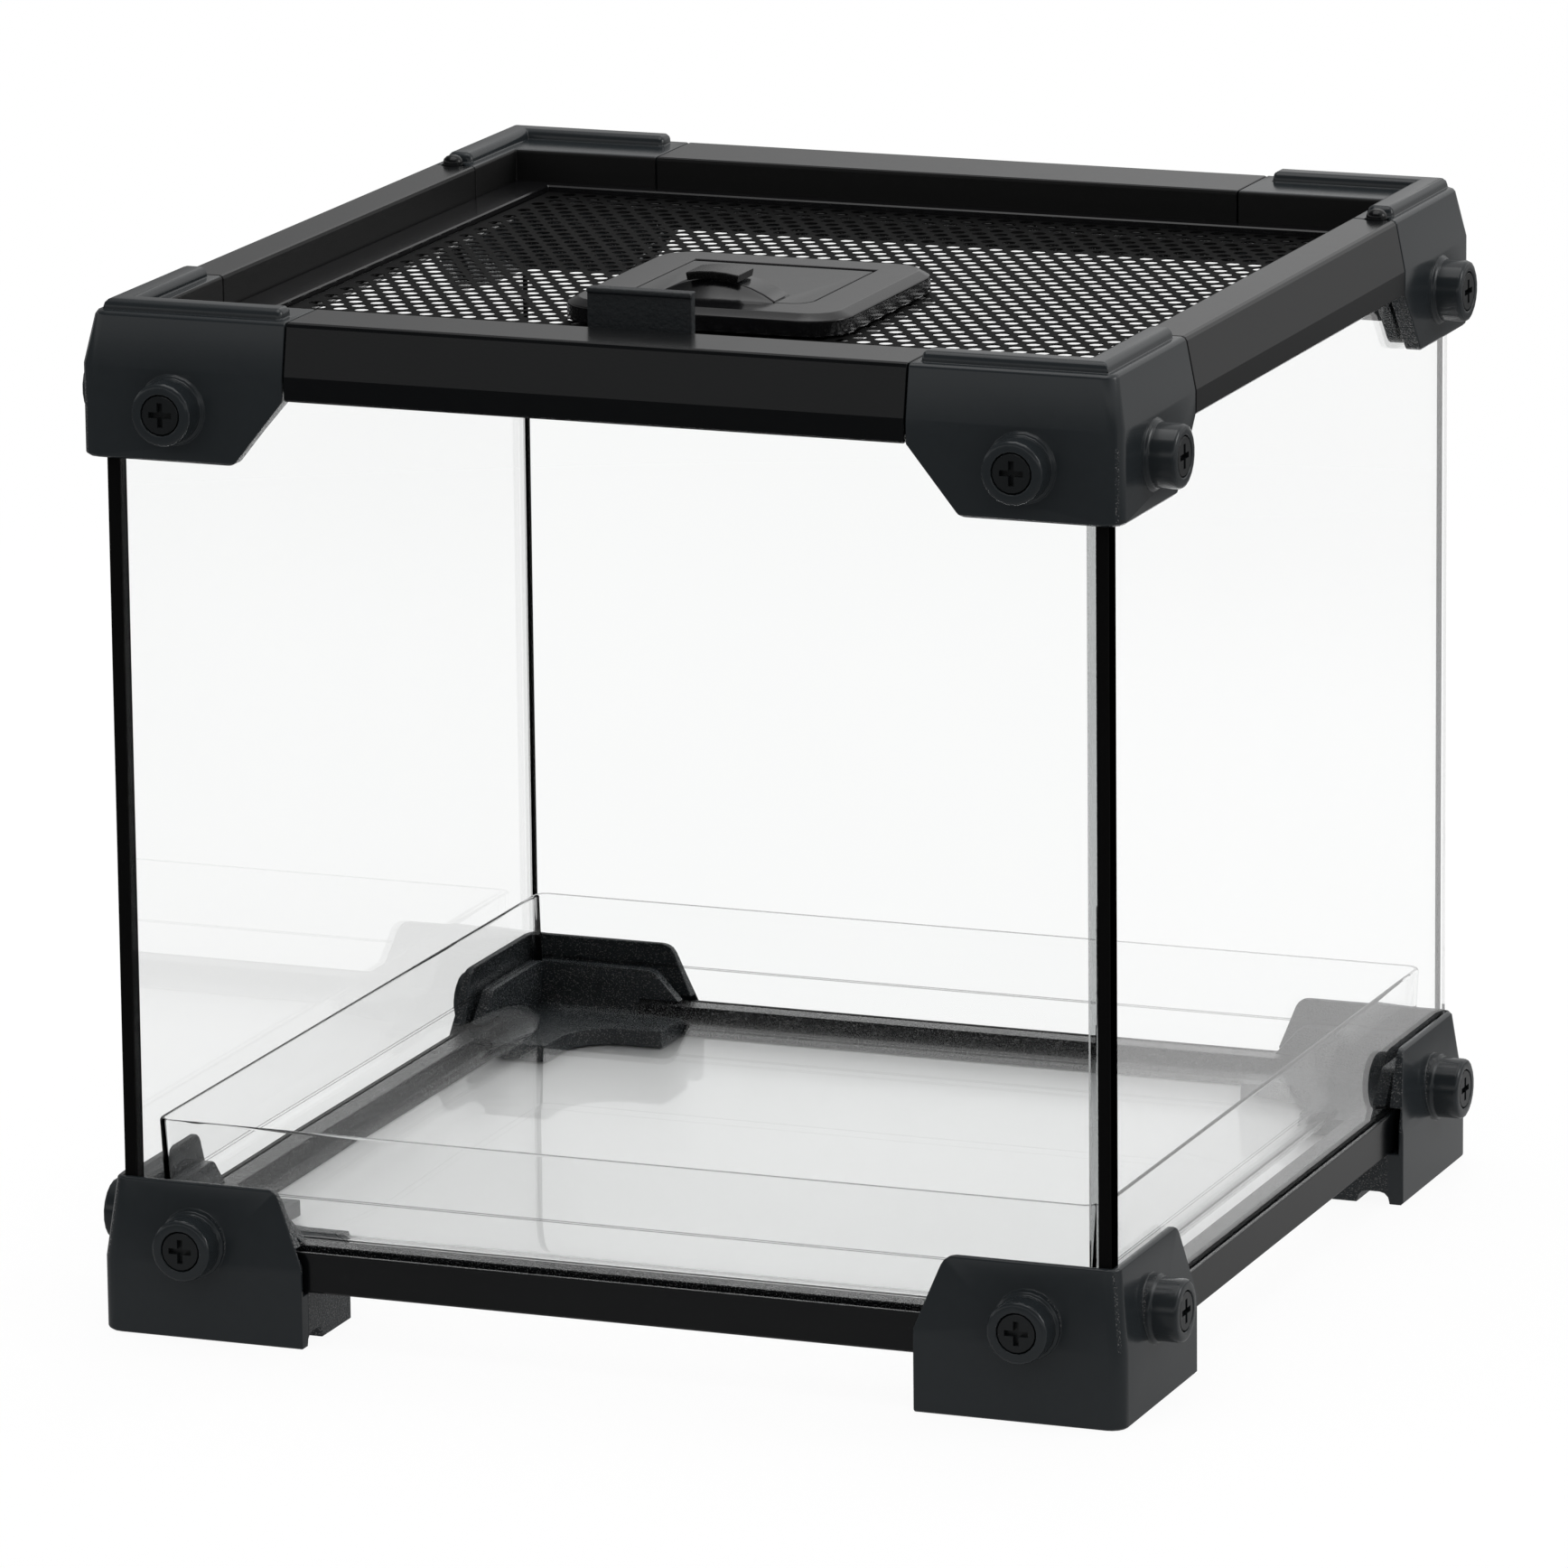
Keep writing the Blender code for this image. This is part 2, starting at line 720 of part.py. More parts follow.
def front_seal():
    """The upright seal between the front and the right pane, slanted on its inner side."""
    inner = FRONT_PANE_HALF + GAP
    outer = GLASS_OUT[1]
    back = -SIDE_PANE_FRONT - GAP
    plan = [(inner, -outer), (outer, -outer), (outer, -outer + 0.3), (outer - 1.4, back), (inner, back)]
    return loft([at_height(plan, z) for z in GLASS_HIGH])


def rear_seal():
    """The thin upright seal between the rear and the right pane."""
    low = (REAR_PANE_HALF + GAP, GLASS_OUT[0], GLASS_HIGH[0])
    high = (GLASS_OUT[0] - GAP, GLASS_OUT[1], GLASS_HIGH[1])
    return box(low, high)


def tray():
    """The clear tray: straight walls above a quarter round, and a flat floor."""
    floor_half = TRAY_HALF - TRAY_CURVE
    centre = TRAY_BOTTOM + TRAY_CURVE
    steps = 5
    outer = []
    inner = []
    for k in range(steps):
        angle = pi / 2 * k / (steps - 1)
        outer.append((floor_half + TRAY_CURVE * sin(angle), centre - TRAY_CURVE * cos(angle)))
        radius = TRAY_CURVE - TRAY_WALL
        inner.append((floor_half + radius * sin(angle), centre - radius * cos(angle)))
    rim = [(TRAY_HALF, TRAY_RIM - 0.4), (TRAY_HALF - 0.3, TRAY_RIM)]
    rim += [(TRAY_HALF - TRAY_WALL + 0.3, TRAY_RIM), (TRAY_HALF - TRAY_WALL, TRAY_RIM - 0.4)]
    loops = []
    for half, z in outer + rim + inner[::-1]:
        radius = max(TRAY_CORNER - (TRAY_HALF - half), 0.5)
        loops.append(at_height(rectangle(half, -half, half, radius), z))
    return loft(loops)


# Screws


def screw():
    """A screw about its own Z, with its head's face at the boss face height above the middle."""
    head = BOSS_FACE - 0.1
    under = BOSS_FACE - SCREW_HEAD_HEIGHT
    profile = [
        (SCREW_SHANK_RADIUS - 0.3, SCREW_END),
        (SCREW_SHANK_RADIUS, SCREW_END + 0.3),
        (SCREW_SHANK_RADIUS, under),
        (SCREW_HEAD_RADIUS, under),
        (SCREW_HEAD_RADIUS, head - 0.1),
        (SCREW_HEAD_RADIUS - 0.1, head),
    ]
    long, short = CROSS_LENGTH / 2, CROSS_WIDTH / 2
    cuts = []
    for half_x, half_y in ((long, short), (short, long)):
        cuts.append(box((-half_x, -half_y, head - CROSS_DEPTH), (half_x, half_y, head + REACH)))
    return carved(turned(profile, BOSS_SIDES), cuts=cuts)


# Lid


def lid_rear(z):
    """How far back the lid's rear edge lies at a height, round about the hinge."""
    return LID_AXIS.y + sqrt(LID_ROLL**2 - (z - LID_AXIS.z) ** 2)


def lid_frame():
    """The lid's frame: a flat ring with a lip inside it that carries the mesh."""
    section = []
    for z, inset in (
        (LID_BOTTOM, 0.0),
        (LID_AXIS.z, 0.0),
        (LID_TOP - 0.4, 0.0),
        (LID_TOP - 0.1, 0.12),
        (LID_TOP, 0.4),
    ):
        section.append((LID_SIDE - inset, -LID_FRONT + inset, lid_rear(z), z))
    side, front, rear = LID_BAR_SIDE, -LID_BAR_FRONT, LID_BAR_REAR
    section.append((side + 0.3, front - 0.3, rear + 0.3, LID_TOP))
    for inset, z in ((0.0, LID_TOP - 0.3), (0.0, LID_LIP_TOP), (LID_LIP, LID_LIP_TOP), (LID_LIP, LID_BOTTOM)):
        section.append((side - inset, front + inset, rear - inset, z))
    ring = loft([at_height(rectangle(half, y0, y1), z) for half, y0, y1, z in section], closed=True)
    bore = rod_along_x(LID_PIN_BORE, LID_PIN_ALONG[0] - GAP, LID_SIDE + REACH, LID_AXIS)
    return carved(ring, cuts=[bore, mirrored_in_x(bore)])


def mesh_sheet():
    """The lid's mesh as a plain sheet, with the hole for the hatch."""
    half = LID_BAR_SIDE - GAP
    low = (-half, -LID_BAR_FRONT + GAP, MESH_LOW)
    high = (half, LID_BAR_REAR - GAP, MESH_HIGH)
    hole_half, front, rear = MESH_HOLE
    hole = box((-hole_half, front, MESH_LOW - REACH), (hole_half, rear, MESH_HIGH + REACH))
    return carved(box(low, high), cuts=[hole])


def pull_tab():
    """The upright tab on the lid's front bar, with a bead along its top and a foot curving forward."""
    base = LID_TOP + GAP
    foot_top = base + TAB_FOOT_THICK
    back = TAB_FRONT + TAB_THICK
    bead_front = TAB_FRONT - (TAB_BEAD_THICK - TAB_THICK) / 2
    bead_back = back + (TAB_BEAD_THICK - TAB_THICK) / 2
    bead_low = TAB_TOP - TAB_BEAD_HEIGHT
    section = outline(
        [
            (back, base),
            (back, bead_low),
            (bead_back, bead_low),
            (bead_back, TAB_TOP, 0.4),
            (bead_front, TAB_TOP, 0.4),
            (bead_front, bead_low),
            (TAB_FRONT, bead_low),
            (TAB_FRONT, foot_top, TAB_CURVE),
            (TAB_FOOT_FRONT, foot_top, 0.4),
            (TAB_FOOT_FRONT, base),
        ]
    )
    return bar_along_x(section, -TAB_HALF, TAB_HALF)


# Hatch


def grown(frame, by):
    """A rectangle of half width, front and rear, made larger all round."""
    half, front, rear = frame
    return half + by, front - by, rear + by


def arch_height(x):
    """How high the handle's arch stands above the hatch at a distance from its middle."""
    radius = (ARCH_HALF**2 + ARCH_RISE**2) / (2 * ARCH_RISE)
    return sqrt(radius**2 - x**2) - (radius - ARCH_RISE)


def spread(half, count):
    """Evenly spaced values from -half to half."""
    return [half * (2 * k / (count - 1) - 1) for k in range(count)]


def scoop():
    """The hatch frame's half of the handle, hollowed in front and running out to a point each side."""
    rear = DOOR_OPENING[1] + 1
    loops = []
    for x in spread(ARCH_HALF - 0.3, 11):
        height = arch_height(x)
        reach = SCOOP_REACH * (height / ARCH_RISE) ** 0.7
        front = DOOR_OPENING[1]
        loop = [(x, rear, HATCH_TOP - 0.5), (x, rear, HATCH_TOP + height)]
        for share in (0.0, 0.25, 0.5, 0.75, 1.0):
            loop.append((x, front - reach * share, HATCH_TOP + height * (1 - share) ** 2))
        loop.append((x, front - reach, HATCH_TOP - 0.5))
        loops.append(loop)
    return loft(loops)


def hatch_frame():
    """The frame round the hatch door, with a collar down through the mesh."""
    wide = grown(HATCH_FLAT, HATCH_BEVEL_OUT)
    round_wide = HATCH_CORNER + HATCH_BEVEL_OUT
    steps = 5
    middle = grown(HATCH_FLAT, HATCH_BEVEL_OUT * 0.12)
    loops = [
        at_height(rectangle(*wide, round_wide, steps), HATCH_BOTTOM),
        at_height(rectangle(*wide, round_wide, steps), HATCH_TOP - HATCH_BEVEL),
        at_height(rectangle(*middle, HATCH_CORNER, steps), HATCH_TOP - 0.08),
        at_height(rectangle(*HATCH_FLAT, HATCH_CORNER, steps), HATCH_TOP),
    ]
    collar_half, front, rear = grown(MESH_HOLE, -GAP)
    collar = box((-collar_half, front, COLLAR_BOTTOM), (collar_half, rear, HATCH_BOTTOM + 1))
    half, front, rear = DOOR_OPENING
    corner = DOOR_CORNER + GAP
    opening = outline([(-half, front, corner), (half, front, corner), (half, rear), (-half, rear)], 5)
    opening = loft([at_height(opening, z) for z in (LEDGE_TOP, HATCH_TOP + 2 * REACH)])
    ledge_half, ledge_front, ledge_rear = DOOR_LEDGE
    ledge = box((-ledge_half, ledge_front, COLLAR_BOTTOM - REACH), (ledge_half, ledge_rear, LEDGE_TOP + 1))
    knuckle = KNUCKLE_RADIUS + GAP
    trough = box((-half, HATCH_AXIS.y - knuckle, HATCH_AXIS.z - knuckle), (half, rear, LEDGE_TOP + 1))
    pin = HATCH_PIN_HALF + GAP
    bore = rod_along_x(HATCH_PIN_BORE, -pin, pin, HATCH_AXIS, 12)
    return carved(loft(loops), [collar, scoop()], [opening, ledge, trough, bore])


def hatch_clamp():
    """The ring under the mesh that clamps it against the hatch frame."""
    inner = MESH_HOLE
    outer = grown(inner, CLAMP_WIDTH)
    low, high = CLAMP_HIGH
    loops = [(outer, low), (outer, high), (inner, high), (inner, low)]
    return loft([at_height(rectangle(*frame), z) for frame, z in loops], closed=True)


def hatch_door():
    """The door: a plate rolled round its hinge at the rear, with the arch of the handle in front."""
    half = DOOR_HALF
    plan = outline(
        [
            (-half, DOOR_FRONT, DOOR_CORNER),
            (half, DOOR_FRONT, DOOR_CORNER),
            (half, HATCH_AXIS.y),
            (-half, HATCH_AXIS.y),
        ],
        5,
    )
    plate = loft([at_height(plan, z) for z in (DOOR_BOTTOM, HATCH_TOP)])
    knuckle = rod_along_x(KNUCKLE_RADIUS, -half, half, HATCH_AXIS)
    xs = spread(ARCH_HALF, 11)
    shape = [(x, HATCH_TOP + arch_height(x)) for x in xs] + [(xs[-1], HATCH_TOP - 1), (xs[0], HATCH_TOP - 1)]
    arch = front_plate(shape, -ARCH_REAR, -DOOR_FRONT)
    bore = rod_along_x(HATCH_PIN_BORE, -half - REACH, half + REACH, HATCH_AXIS, 12)
    hole = turned([(PEG_RADIUS + GAP, HATCH_TOP + 0.5), (PEG_RADIUS + GAP, GRIP_TOP)], 12)
    hole = moved(hole, Matrix.Translation(Vector((0, PEG_PLACE, 0)) * MM))
    return carved(plate, [knuckle, arch], [bore, hole])


def hatch_grip():
    """The black grip on the arch, held by a peg."""
    xs = spread(GRIP_HALF - 0.35, 5)
    under = [(x, HATCH_TOP + arch_height(x) + GAP) for x in xs]
    over = [(x * 1.07, GRIP_TOP - 0.6 * (x / GRIP_HALF) ** 2) for x in reversed(xs)]
    grip = front_plate(under + over, -GRIP_REAR, -GRIP_FRONT)
    peg_low = HATCH_TOP + 0.5 + GAP
    peg = turned([(PEG_RADIUS, peg_low), (PEG_RADIUS, GRIP_TOP - 1)], 12)
    peg = moved(peg, Matrix.Translation(Vector((0, PEG_PLACE, 0)) * MM))
    return carved(grip, [peg])


# The whole object


def add_top_frame(tank, cap_material, rail_material, pin_material):
    rails = (
        ("top_rail_front", 0, OPEN_FRONT, True),
        ("top_rail_right", 1, OPEN_SIDE, True),
        ("top_rail_rear", 2, OPEN_REAR, False),
        ("top_rail_left", 3, OPEN_SIDE, True),
    )
    for name, side, wall, has_flange in rails:
        add_piece(name, top_rail(side, wall, has_flange), rail_material, tank)
    common = carved(cap_block(), on_both_arms(boss(TOP_BOSS_HEIGHT)), cap_cuts())
    for turns, corner in enumerate(CORNERS):
        add_piece(f"top_cap_{corner}", top_cap(common, turns), cap_material, tank)
    for direction, side in ((-1, "left"), (1, "right")):
        place = Matrix.Translation(Vector((direction * DOWEL_OUT, DOWEL_ALONG, 0)) * MM)
        add_piece(f"frame_dowel_{side}", dowel(), rail_material, tank, place)
    pin = rod_along_x(LID_PIN_RADIUS, *LID_PIN_ALONG, LID_AXIS, 12)
    add_piece("lid_pin_right", moved(pin, Matrix()), pin_material, tank)
    add_piece("lid_pin_left", mirrored_in_x(pin), pin_material, tank)


def add_base(tank, foot_material, rail_material):
    corner_mesh = foot()
    rail_mesh = bottom_rail()
    for turns, corner in enumerate(CORNERS):
        add_piece(f"foot_{corner}", corner_mesh, foot_material, tank, quarter_turn(turns))
    for turns, side in enumerate(SIDES):
        add_piece(f"bottom_rail_{side}", rail_mesh, rail_material, tank, quarter_turn(turns))


def add_glass(tank, glass, seal, clear_plastic):
    add_piece("glass_front", pane(FRONT_PANE_HALF, 0), glass, tank)
    add_piece("glass_rear", pane(REAR_PANE_HALF, 2), glass, tank)
    floor_half = FLOOR_PANE_HALF
    floor = box((-floor_half, -floor_half, FLOOR_PANE[0]), (floor_half, floor_half, FLOOR_PANE[1]))
    add_piece("glass_floor", floor, glass, tank)
    for place, mesh, material in (
        ("glass", side_pane(), glass),
        ("seal_front", front_seal(), seal),
        ("seal_rear", rear_seal(), seal),
    ):
        add_piece(f"{place}_right", moved(mesh, Matrix()), material, tank)
        add_piece(f"{place}_left", mirrored_in_x(mesh), material, tank)
    add_piece("tray", tray(), clear_plastic, tank)


def add_screws(tank, material):
    mesh = screw()
    for level, height in (("top", TOP_BOSS_HEIGHT), ("base", FOOT_BOSS_HEIGHT)):
        for turns, corner in enumerate(CORNERS):
            front = front_screw_place(height)
            spot = ACROSS @ front.translation
            side = Matrix.Translation(spot) @ Matrix.Rotation(pi / 2, 4, "Y") @ quarter_turn(1)
            for letter, place in (("a", front), ("b", side)):
                name = f"screw_{level}_{corner}_{letter}"
                add_piece(name, mesh, material, tank, quarter_turn(turns) @ place)


def add_lid(tank, frame_material, mesh_material, tab_material, pin_material):
    lid = add_empty("lid_hinge_line", LID_AXIS, tank)
    add_piece("lid_frame", lid_frame(), frame_material, lid)
    add_piece("lid_mesh", mesh_sheet(), mesh_material, lid)
    add_piece("lid_tab", pull_tab(), tab_material, lid)
    add_piece("hatch_frame", hatch_frame(), frame_material, lid)
    add_piece("hatch_clamp", hatch_clamp(), frame_material, lid)
    pin = rod_along_x(HATCH_PIN_RADIUS, -HATCH_PIN_HALF, HATCH_PIN_HALF, HATCH_AXIS, 10)
    add_piece("hatch_pin", pin, pin_material, lid)
    return lid


def add_hatch(lid, door_material, grip_material):
    hatch = add_empty("hatch_hinge_line", HATCH_AXIS, lid)
    add_piece("hatch_door", hatch_door(), door_material, hatch)
    add_piece("hatch_grip", hatch_grip(), grip_material, hatch)


def main():
    clear_scene()
    cap_plastic = make_material("cap plastic", (0.022, 0.027, 0.030), 0.38)
    rail_plastic = make_material("rail plastic", (0.013, 0.015, 0.016), 0.38)
    screw_plastic = make_material("screw plastic", (0.016, 0.018, 0.019), 0.42)
    glass = make_material("glass", (0.94, 0.97, 0.96), 0.02, transmission=1.0)
    clear_plastic = make_material("clear plastic", (0.95, 0.96, 0.97), 0.08, transmission=1.0)
    seal = make_material("black seal", (0.006, 0.006, 0.006), 0.45)
    mesh_material = make_material("black mesh", (0.010, 0.010, 0.011), 0.60)
    tab_plastic = make_material("grained plastic", (0.020, 0.024, 0.026), 0.60)
    grip_rubber = make_material("black grip", (0.004, 0.004, 0.005), 0.50)
    steel = make_material("pin steel", (0.55, 0.55, 0.55), 0.30, metallic=1.0)
    tank = add_empty("terrarium", (0, 0, 0))
    add_top_frame(tank, cap_plastic, rail_plastic, steel)
    add_base(tank, cap_plastic, rail_plastic)
    add_glass(tank, glass, seal, clear_plastic)
    add_screws(tank, screw_plastic)
    lid = add_lid(tank, rail_plastic, mesh_material, tab_plastic, steel)
    add_hatch(lid, cap_plastic, grip_rubber)


main()
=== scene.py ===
"""The looks of the glass terrarium: finishes, the punched lid mesh, the clear parts, light and camera.

Shapes are written in millimetres and turned into metres as each mesh is made.
"""

import json
from math import atan2, cos, pi, radians, sin

import bmesh
import bpy
from mathutils import Matrix, Vector

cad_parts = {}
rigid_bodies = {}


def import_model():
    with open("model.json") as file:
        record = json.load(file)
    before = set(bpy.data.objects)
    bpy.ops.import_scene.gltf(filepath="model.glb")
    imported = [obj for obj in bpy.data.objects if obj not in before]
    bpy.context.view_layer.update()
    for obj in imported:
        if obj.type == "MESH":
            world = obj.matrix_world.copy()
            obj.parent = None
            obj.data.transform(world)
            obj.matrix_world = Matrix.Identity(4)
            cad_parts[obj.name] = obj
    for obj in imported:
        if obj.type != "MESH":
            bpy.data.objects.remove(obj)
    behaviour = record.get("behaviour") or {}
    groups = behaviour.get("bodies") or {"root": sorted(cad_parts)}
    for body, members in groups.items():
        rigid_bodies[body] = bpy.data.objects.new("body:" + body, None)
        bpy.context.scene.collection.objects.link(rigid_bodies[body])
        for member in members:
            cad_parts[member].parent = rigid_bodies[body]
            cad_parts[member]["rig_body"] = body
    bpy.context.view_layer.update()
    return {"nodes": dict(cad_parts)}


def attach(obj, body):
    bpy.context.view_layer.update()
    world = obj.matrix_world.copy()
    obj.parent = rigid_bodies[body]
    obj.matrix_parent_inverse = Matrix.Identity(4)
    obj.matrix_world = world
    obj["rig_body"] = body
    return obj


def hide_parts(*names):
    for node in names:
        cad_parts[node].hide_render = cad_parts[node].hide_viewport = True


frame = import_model()

MM = 0.001

# Camera, from the photograph's angle but without its lens shift
CAMERA_TURN = radians(21.409)
CAMERA_RISE = radians(13.348)
CAMERA_ROLL = radians(-0.615)
CAMERA_LENS = 251.28
CAMERA_AIM = Vector((0.0, 0.0, 0.098604))
CAMERA_OFFSET = (-0.002715, -0.007434, 2.10303)  # from the aim, along its right, up and back

# Studio
FLOOR_RADIUS = 9.0
FLOOR_NEAR = 0.45  # where the object's shadow starts to fade out
FLOOR_FAR = 0.75
FLOOR_SHARE = 0.08  # how much of the lamps' light the near floor takes, which draws the shadow
FLOOR_WHITE = 0.93
FLOOR_SOFT = 0.5
SOFT_LEVEL = 0.62
SOFT_RISE = 0.25  # how much brighter the soft light is overhead
LAMPS = (
    # name, place and width in metres, watts, whether gloss and glass show it
    ("overhead_lamp", (0.0, -0.1, 1.6), 1.2, 5.0, True),
    ("right_lamp", (1.5, 0.5, 0.9), 0.7, 4.0, True),
    ("rear_lamp", (-0.2, 1.5, 0.8), 1.0, 8.0, False),
)

# What gloss sees of the studio: a bright side behind, and a band in front.
# An edge, rise or fall says where a change starts and ends, along a direction of length 1.
BRIGHT_TURN = 0.4  # how far the bright side is turned to the right
BRIGHT_EDGE = (-0.35, 0.45)
BACK_RISE = (-0.02, 0.24)
BACK_GLOSS = (0.35, 0.67)
BAND_RISE = (0.04, 0.2)
BAND_FALL = (0.24, 0.45)
BAND_GLOSS = (0.05, 0.6)
LEFT_EDGE = (-0.46, -0.26)
LEFT_GLOSS = (0.35, 1.05)
TOP_EDGE = (0.75, 0.95)
TOP_GLOSS = 0.3

# What gloss sees of the floor, in front and behind, with its edges in metres
FLOOR_EDGE = (-0.2, 0.3)
NEAR_GLOSS = (0.2, 0.4)
MIDDLE_GLOSS = (0.06, 0.14)
FAR_GLOSS = (0.06, 0.38)
MIDDLE_REACH = (0.15, 0.35)
FAR_REACH = (0.9, 1.6)

# Edges of moulded pieces
WELD = 0.06  # points this near each other become one
FLAT_ANGLE = radians(0.5)
HARD_ANGLE = radians(50)
CREASE_ANGLE = radians(5)
FAINT_ANGLE = radians(2)
CREASE_AREA = 30.0  # square millimetres
CREASE_LINE = 0.6  # the cosine of the widest turn at which a crease still runs on
EDGE_WIDTH = 0.25

# Lid mesh
PITCH_X = 4.4
PITCH_Y = 3.65
HOLE_RADIUS = 1.45
MESH_TOP = 188.68
MESH_THICK = 0.2
MESH_ROWS = 42
MESH_COLUMNS = 37
MESH_MIDDLE = 0.25
MESH_HALF = 82.2
MESH_FRONT = -76.6
MESH_REAR = 77.1
HOLE_TURN = radians(-5)
HATCH_HOLE = (24.0, -46.6, 1.4)  # half its width, its front and its rear
TOUCH = 0.01

# Clear tray, as in the solid, but with walls that lean out towards the rim
TRAY_HALF = 94.3
TRAY_DRAFT = 0.7
TRAY_WALL = 1.2
TRAY_BOTTOM = 16.6
TRAY_RIM = 40.0
TRAY_CURVE = 10.5
TRAY_CORNER = 3.0
TRAY_LIP = (0.4, 0.3)  # height and width of the rim's slopes
TRAY_LIP_BACK = 0.05  # how far the slopes' feet stand back from the walls' faces
TRAY_CORNER_LEAST = 0.5
# Dark lines painted on the tray's rim and bend, as shade that stands in for how its curves refract dark
# surroundings
RIM_LINE = (0.12, 0.05)  # below the rim, where its painted dark line fades in
BEND_LINE = (0.08, 0.16)  # beside the bend, where its painted dark line fades out
PAINTED_LINE_STRENGTH = 0.75
CURVE_STEPS = 12
CORNER_STEPS = 6

# Coarse grain on moulded pieces: inside the glass and on the ends of their arms
GRAIN_EDGE = (98.9, 99.3)
GRAIN_TOP = 183.0
GRAIN_HEIGHT = 8.0  # times the height of the fine texture
GRAIN_ROUGH = 0.05
SPECK_EDGE = (0.62, 0.7)
ARM_END_FAR = 102.1
ARM_END_LOW = 14.6
ARM_END_FACING = 0.6

# Walls of the top opening, which get painted shade (a near-black colour) and extra roughness
OPENING_LOW = 184.0
OPENING_SIDE = 91.5
OPENING_FRONT = -86.3
OPENING_REAR = 82.2
OPENING_ROUGH = 0.35

# Clear bead in the front right corner, from and to along X, Y and Z
BEAD = ((93.8, 95.2), (-96.6, -95.4), (14.2, 186.0))


# Node sheets


class Value:
    """A node's output, which Python's own operators pass through Math nodes."""

    def __init__(self, sheet, socket):
        self.sheet = sheet
        self.socket = socket

    def math(self, operation, *others):
        values = dict(enumerate((self, *others)))
        return self.sheet.node("ShaderNodeMath", {"operation": operation}, values)

    def __add__(self, other):
        return self.math("ADD", other)

    def __mul__(self, other):
        return self.math("MULTIPLY", other)

    def __sub__(self, other):
        return self.math("SUBTRACT", other)

    def __rsub__(self, other):
        return self.sheet.node("ShaderNodeMath", {"operation": "SUBTRACT"}, {0: other, 1: self})

    def __lt__(self, other):
        return self.math("LESS_THAN", other)

    def __gt__(self, other):
        return self.math("GREATER_THAN", other)

    __radd__ = __add__
    __rmul__ = __mul__

    def size(self):
        return self.math("ABSOLUTE")

    def most(self, other):
        return self.math("MAXIMUM", other)


class Sheet:
    """The nodes of one material or world."""

    def __init__(self, owner):
        owner.use_nodes = True
        self.tree = owner.node_tree
        self.tree.nodes.clear()

    def node(self, kind, settings=None, sockets=None, output=0):
        """Adds a node: first its settings, then the values or links of its sockets."""
        made = self.tree.nodes.new(kind)
        for name, setting in (settings or {}).items():
            setattr(made, name, setting)
        for name, given in (sockets or {}).items():
            if isinstance(given, Value):
                self.tree.links.new(given.socket, made.inputs[name])
            else:
                made.inputs[name].default_value = given
        return Value(self, made.outputs[output]) if made.outputs else made

    def place(self):
        """Where a point is in the shared frame, in millimetres."""
        metres = self.node("ShaderNodeTexCoord", output="Object")
        return self.node("ShaderNodeVectorMath", {"operation": "SCALE"}, {0: metres, "Scale": 1 / MM})

    def parts(self, vector):
        """The three numbers of a vector."""
        split = self.node("ShaderNodeSeparateXYZ", sockets={0: vector})
        outputs = split.socket.node.outputs
        return [Value(self, outputs[i]) for i in range(3)]

    def noise(self, place, size, detail=2.0, rough=0.5):
        """Noise from 0 to 1 whose blots are about that many millimetres wide."""
        sockets = {"Vector": place, "Scale": 1 / size, "Detail": detail, "Roughness": rough}
        return self.node("ShaderNodeTexNoise", sockets=sockets, output=0)

    def spread(self, value, low, high):
        """A value from 0 to 1 turned into one between low and high."""
        return self.node("ShaderNodeMapRange", sockets={"Value": value, "To Min": low, "To Max": high})

    def step(self, value, low, high):
        """0 below low, 1 above high and smooth between."""
        sockets = {"Value": value, "From Min": low, "From Max": high}
        return self.node("ShaderNodeMapRange", {"interpolation_type": "SMOOTHSTEP"}, sockets)

    def blend(self, share, first, second):
        """One number turning into another."""
        return (1 - share) * first + share * second

    def mix(self, share, first, second):
        """One colour turning into another."""
        return self.node("ShaderNodeMix", {"data_type": "RGBA"}, {0: share, 6: first, 7: second}, output=2)

    def bump(self, height, depth):
        """A normal from a height between 0 and 1 that stands for that many millimetres."""
        return self.node("ShaderNodeBump", sockets={"Height": height, "Distance": depth * MM})

    def shader(self, **sockets):
        named = {name.replace("_", " "): value for name, value in sockets.items()}
        return self.node("ShaderNodeBsdfPrincipled", sockets=named)

    def between(self, share, first, second):
        """One shader turning into another."""
        return self.node("ShaderNodeMixShader", sockets={0: share, 1: first, 2: second})

    def end(self, shader, kind="ShaderNodeOutputMaterial"):
        self.node(kind, sockets={"Surface": shader})


def grey(level):
    return (level, level, level, 1.0)


def colour(red, green, blue):
    return (red, green, blue, 1.0)


def new_sheet(name):
    material = bpy.data.materials.new(name)
    return material, Sheet(material)


# Finishes


def grained_places(sheet, x, y, z):
    """1 on the faces inside the glass and on the faces that end the caps' and feet's arms."""
    far_side = x.size().most(y.size())
    inside = 1 - sheet.step(far_side, *GRAIN_EDGE)
    turn_x, turn_y = sheet.parts(sheet.node("ShaderNodeNewGeometry", output="Normal"))[:2]
    on_side = x.size() > y.size()
    along = sheet.blend(on_side, turn_x.size(), turn_y.size())
    arm_end = (along > ARM_END_FACING) * (far_side < ARM_END_FAR) * (z > ARM_END_LOW)
    return inside.most(arm_end) * (z < GRAIN_TOP)


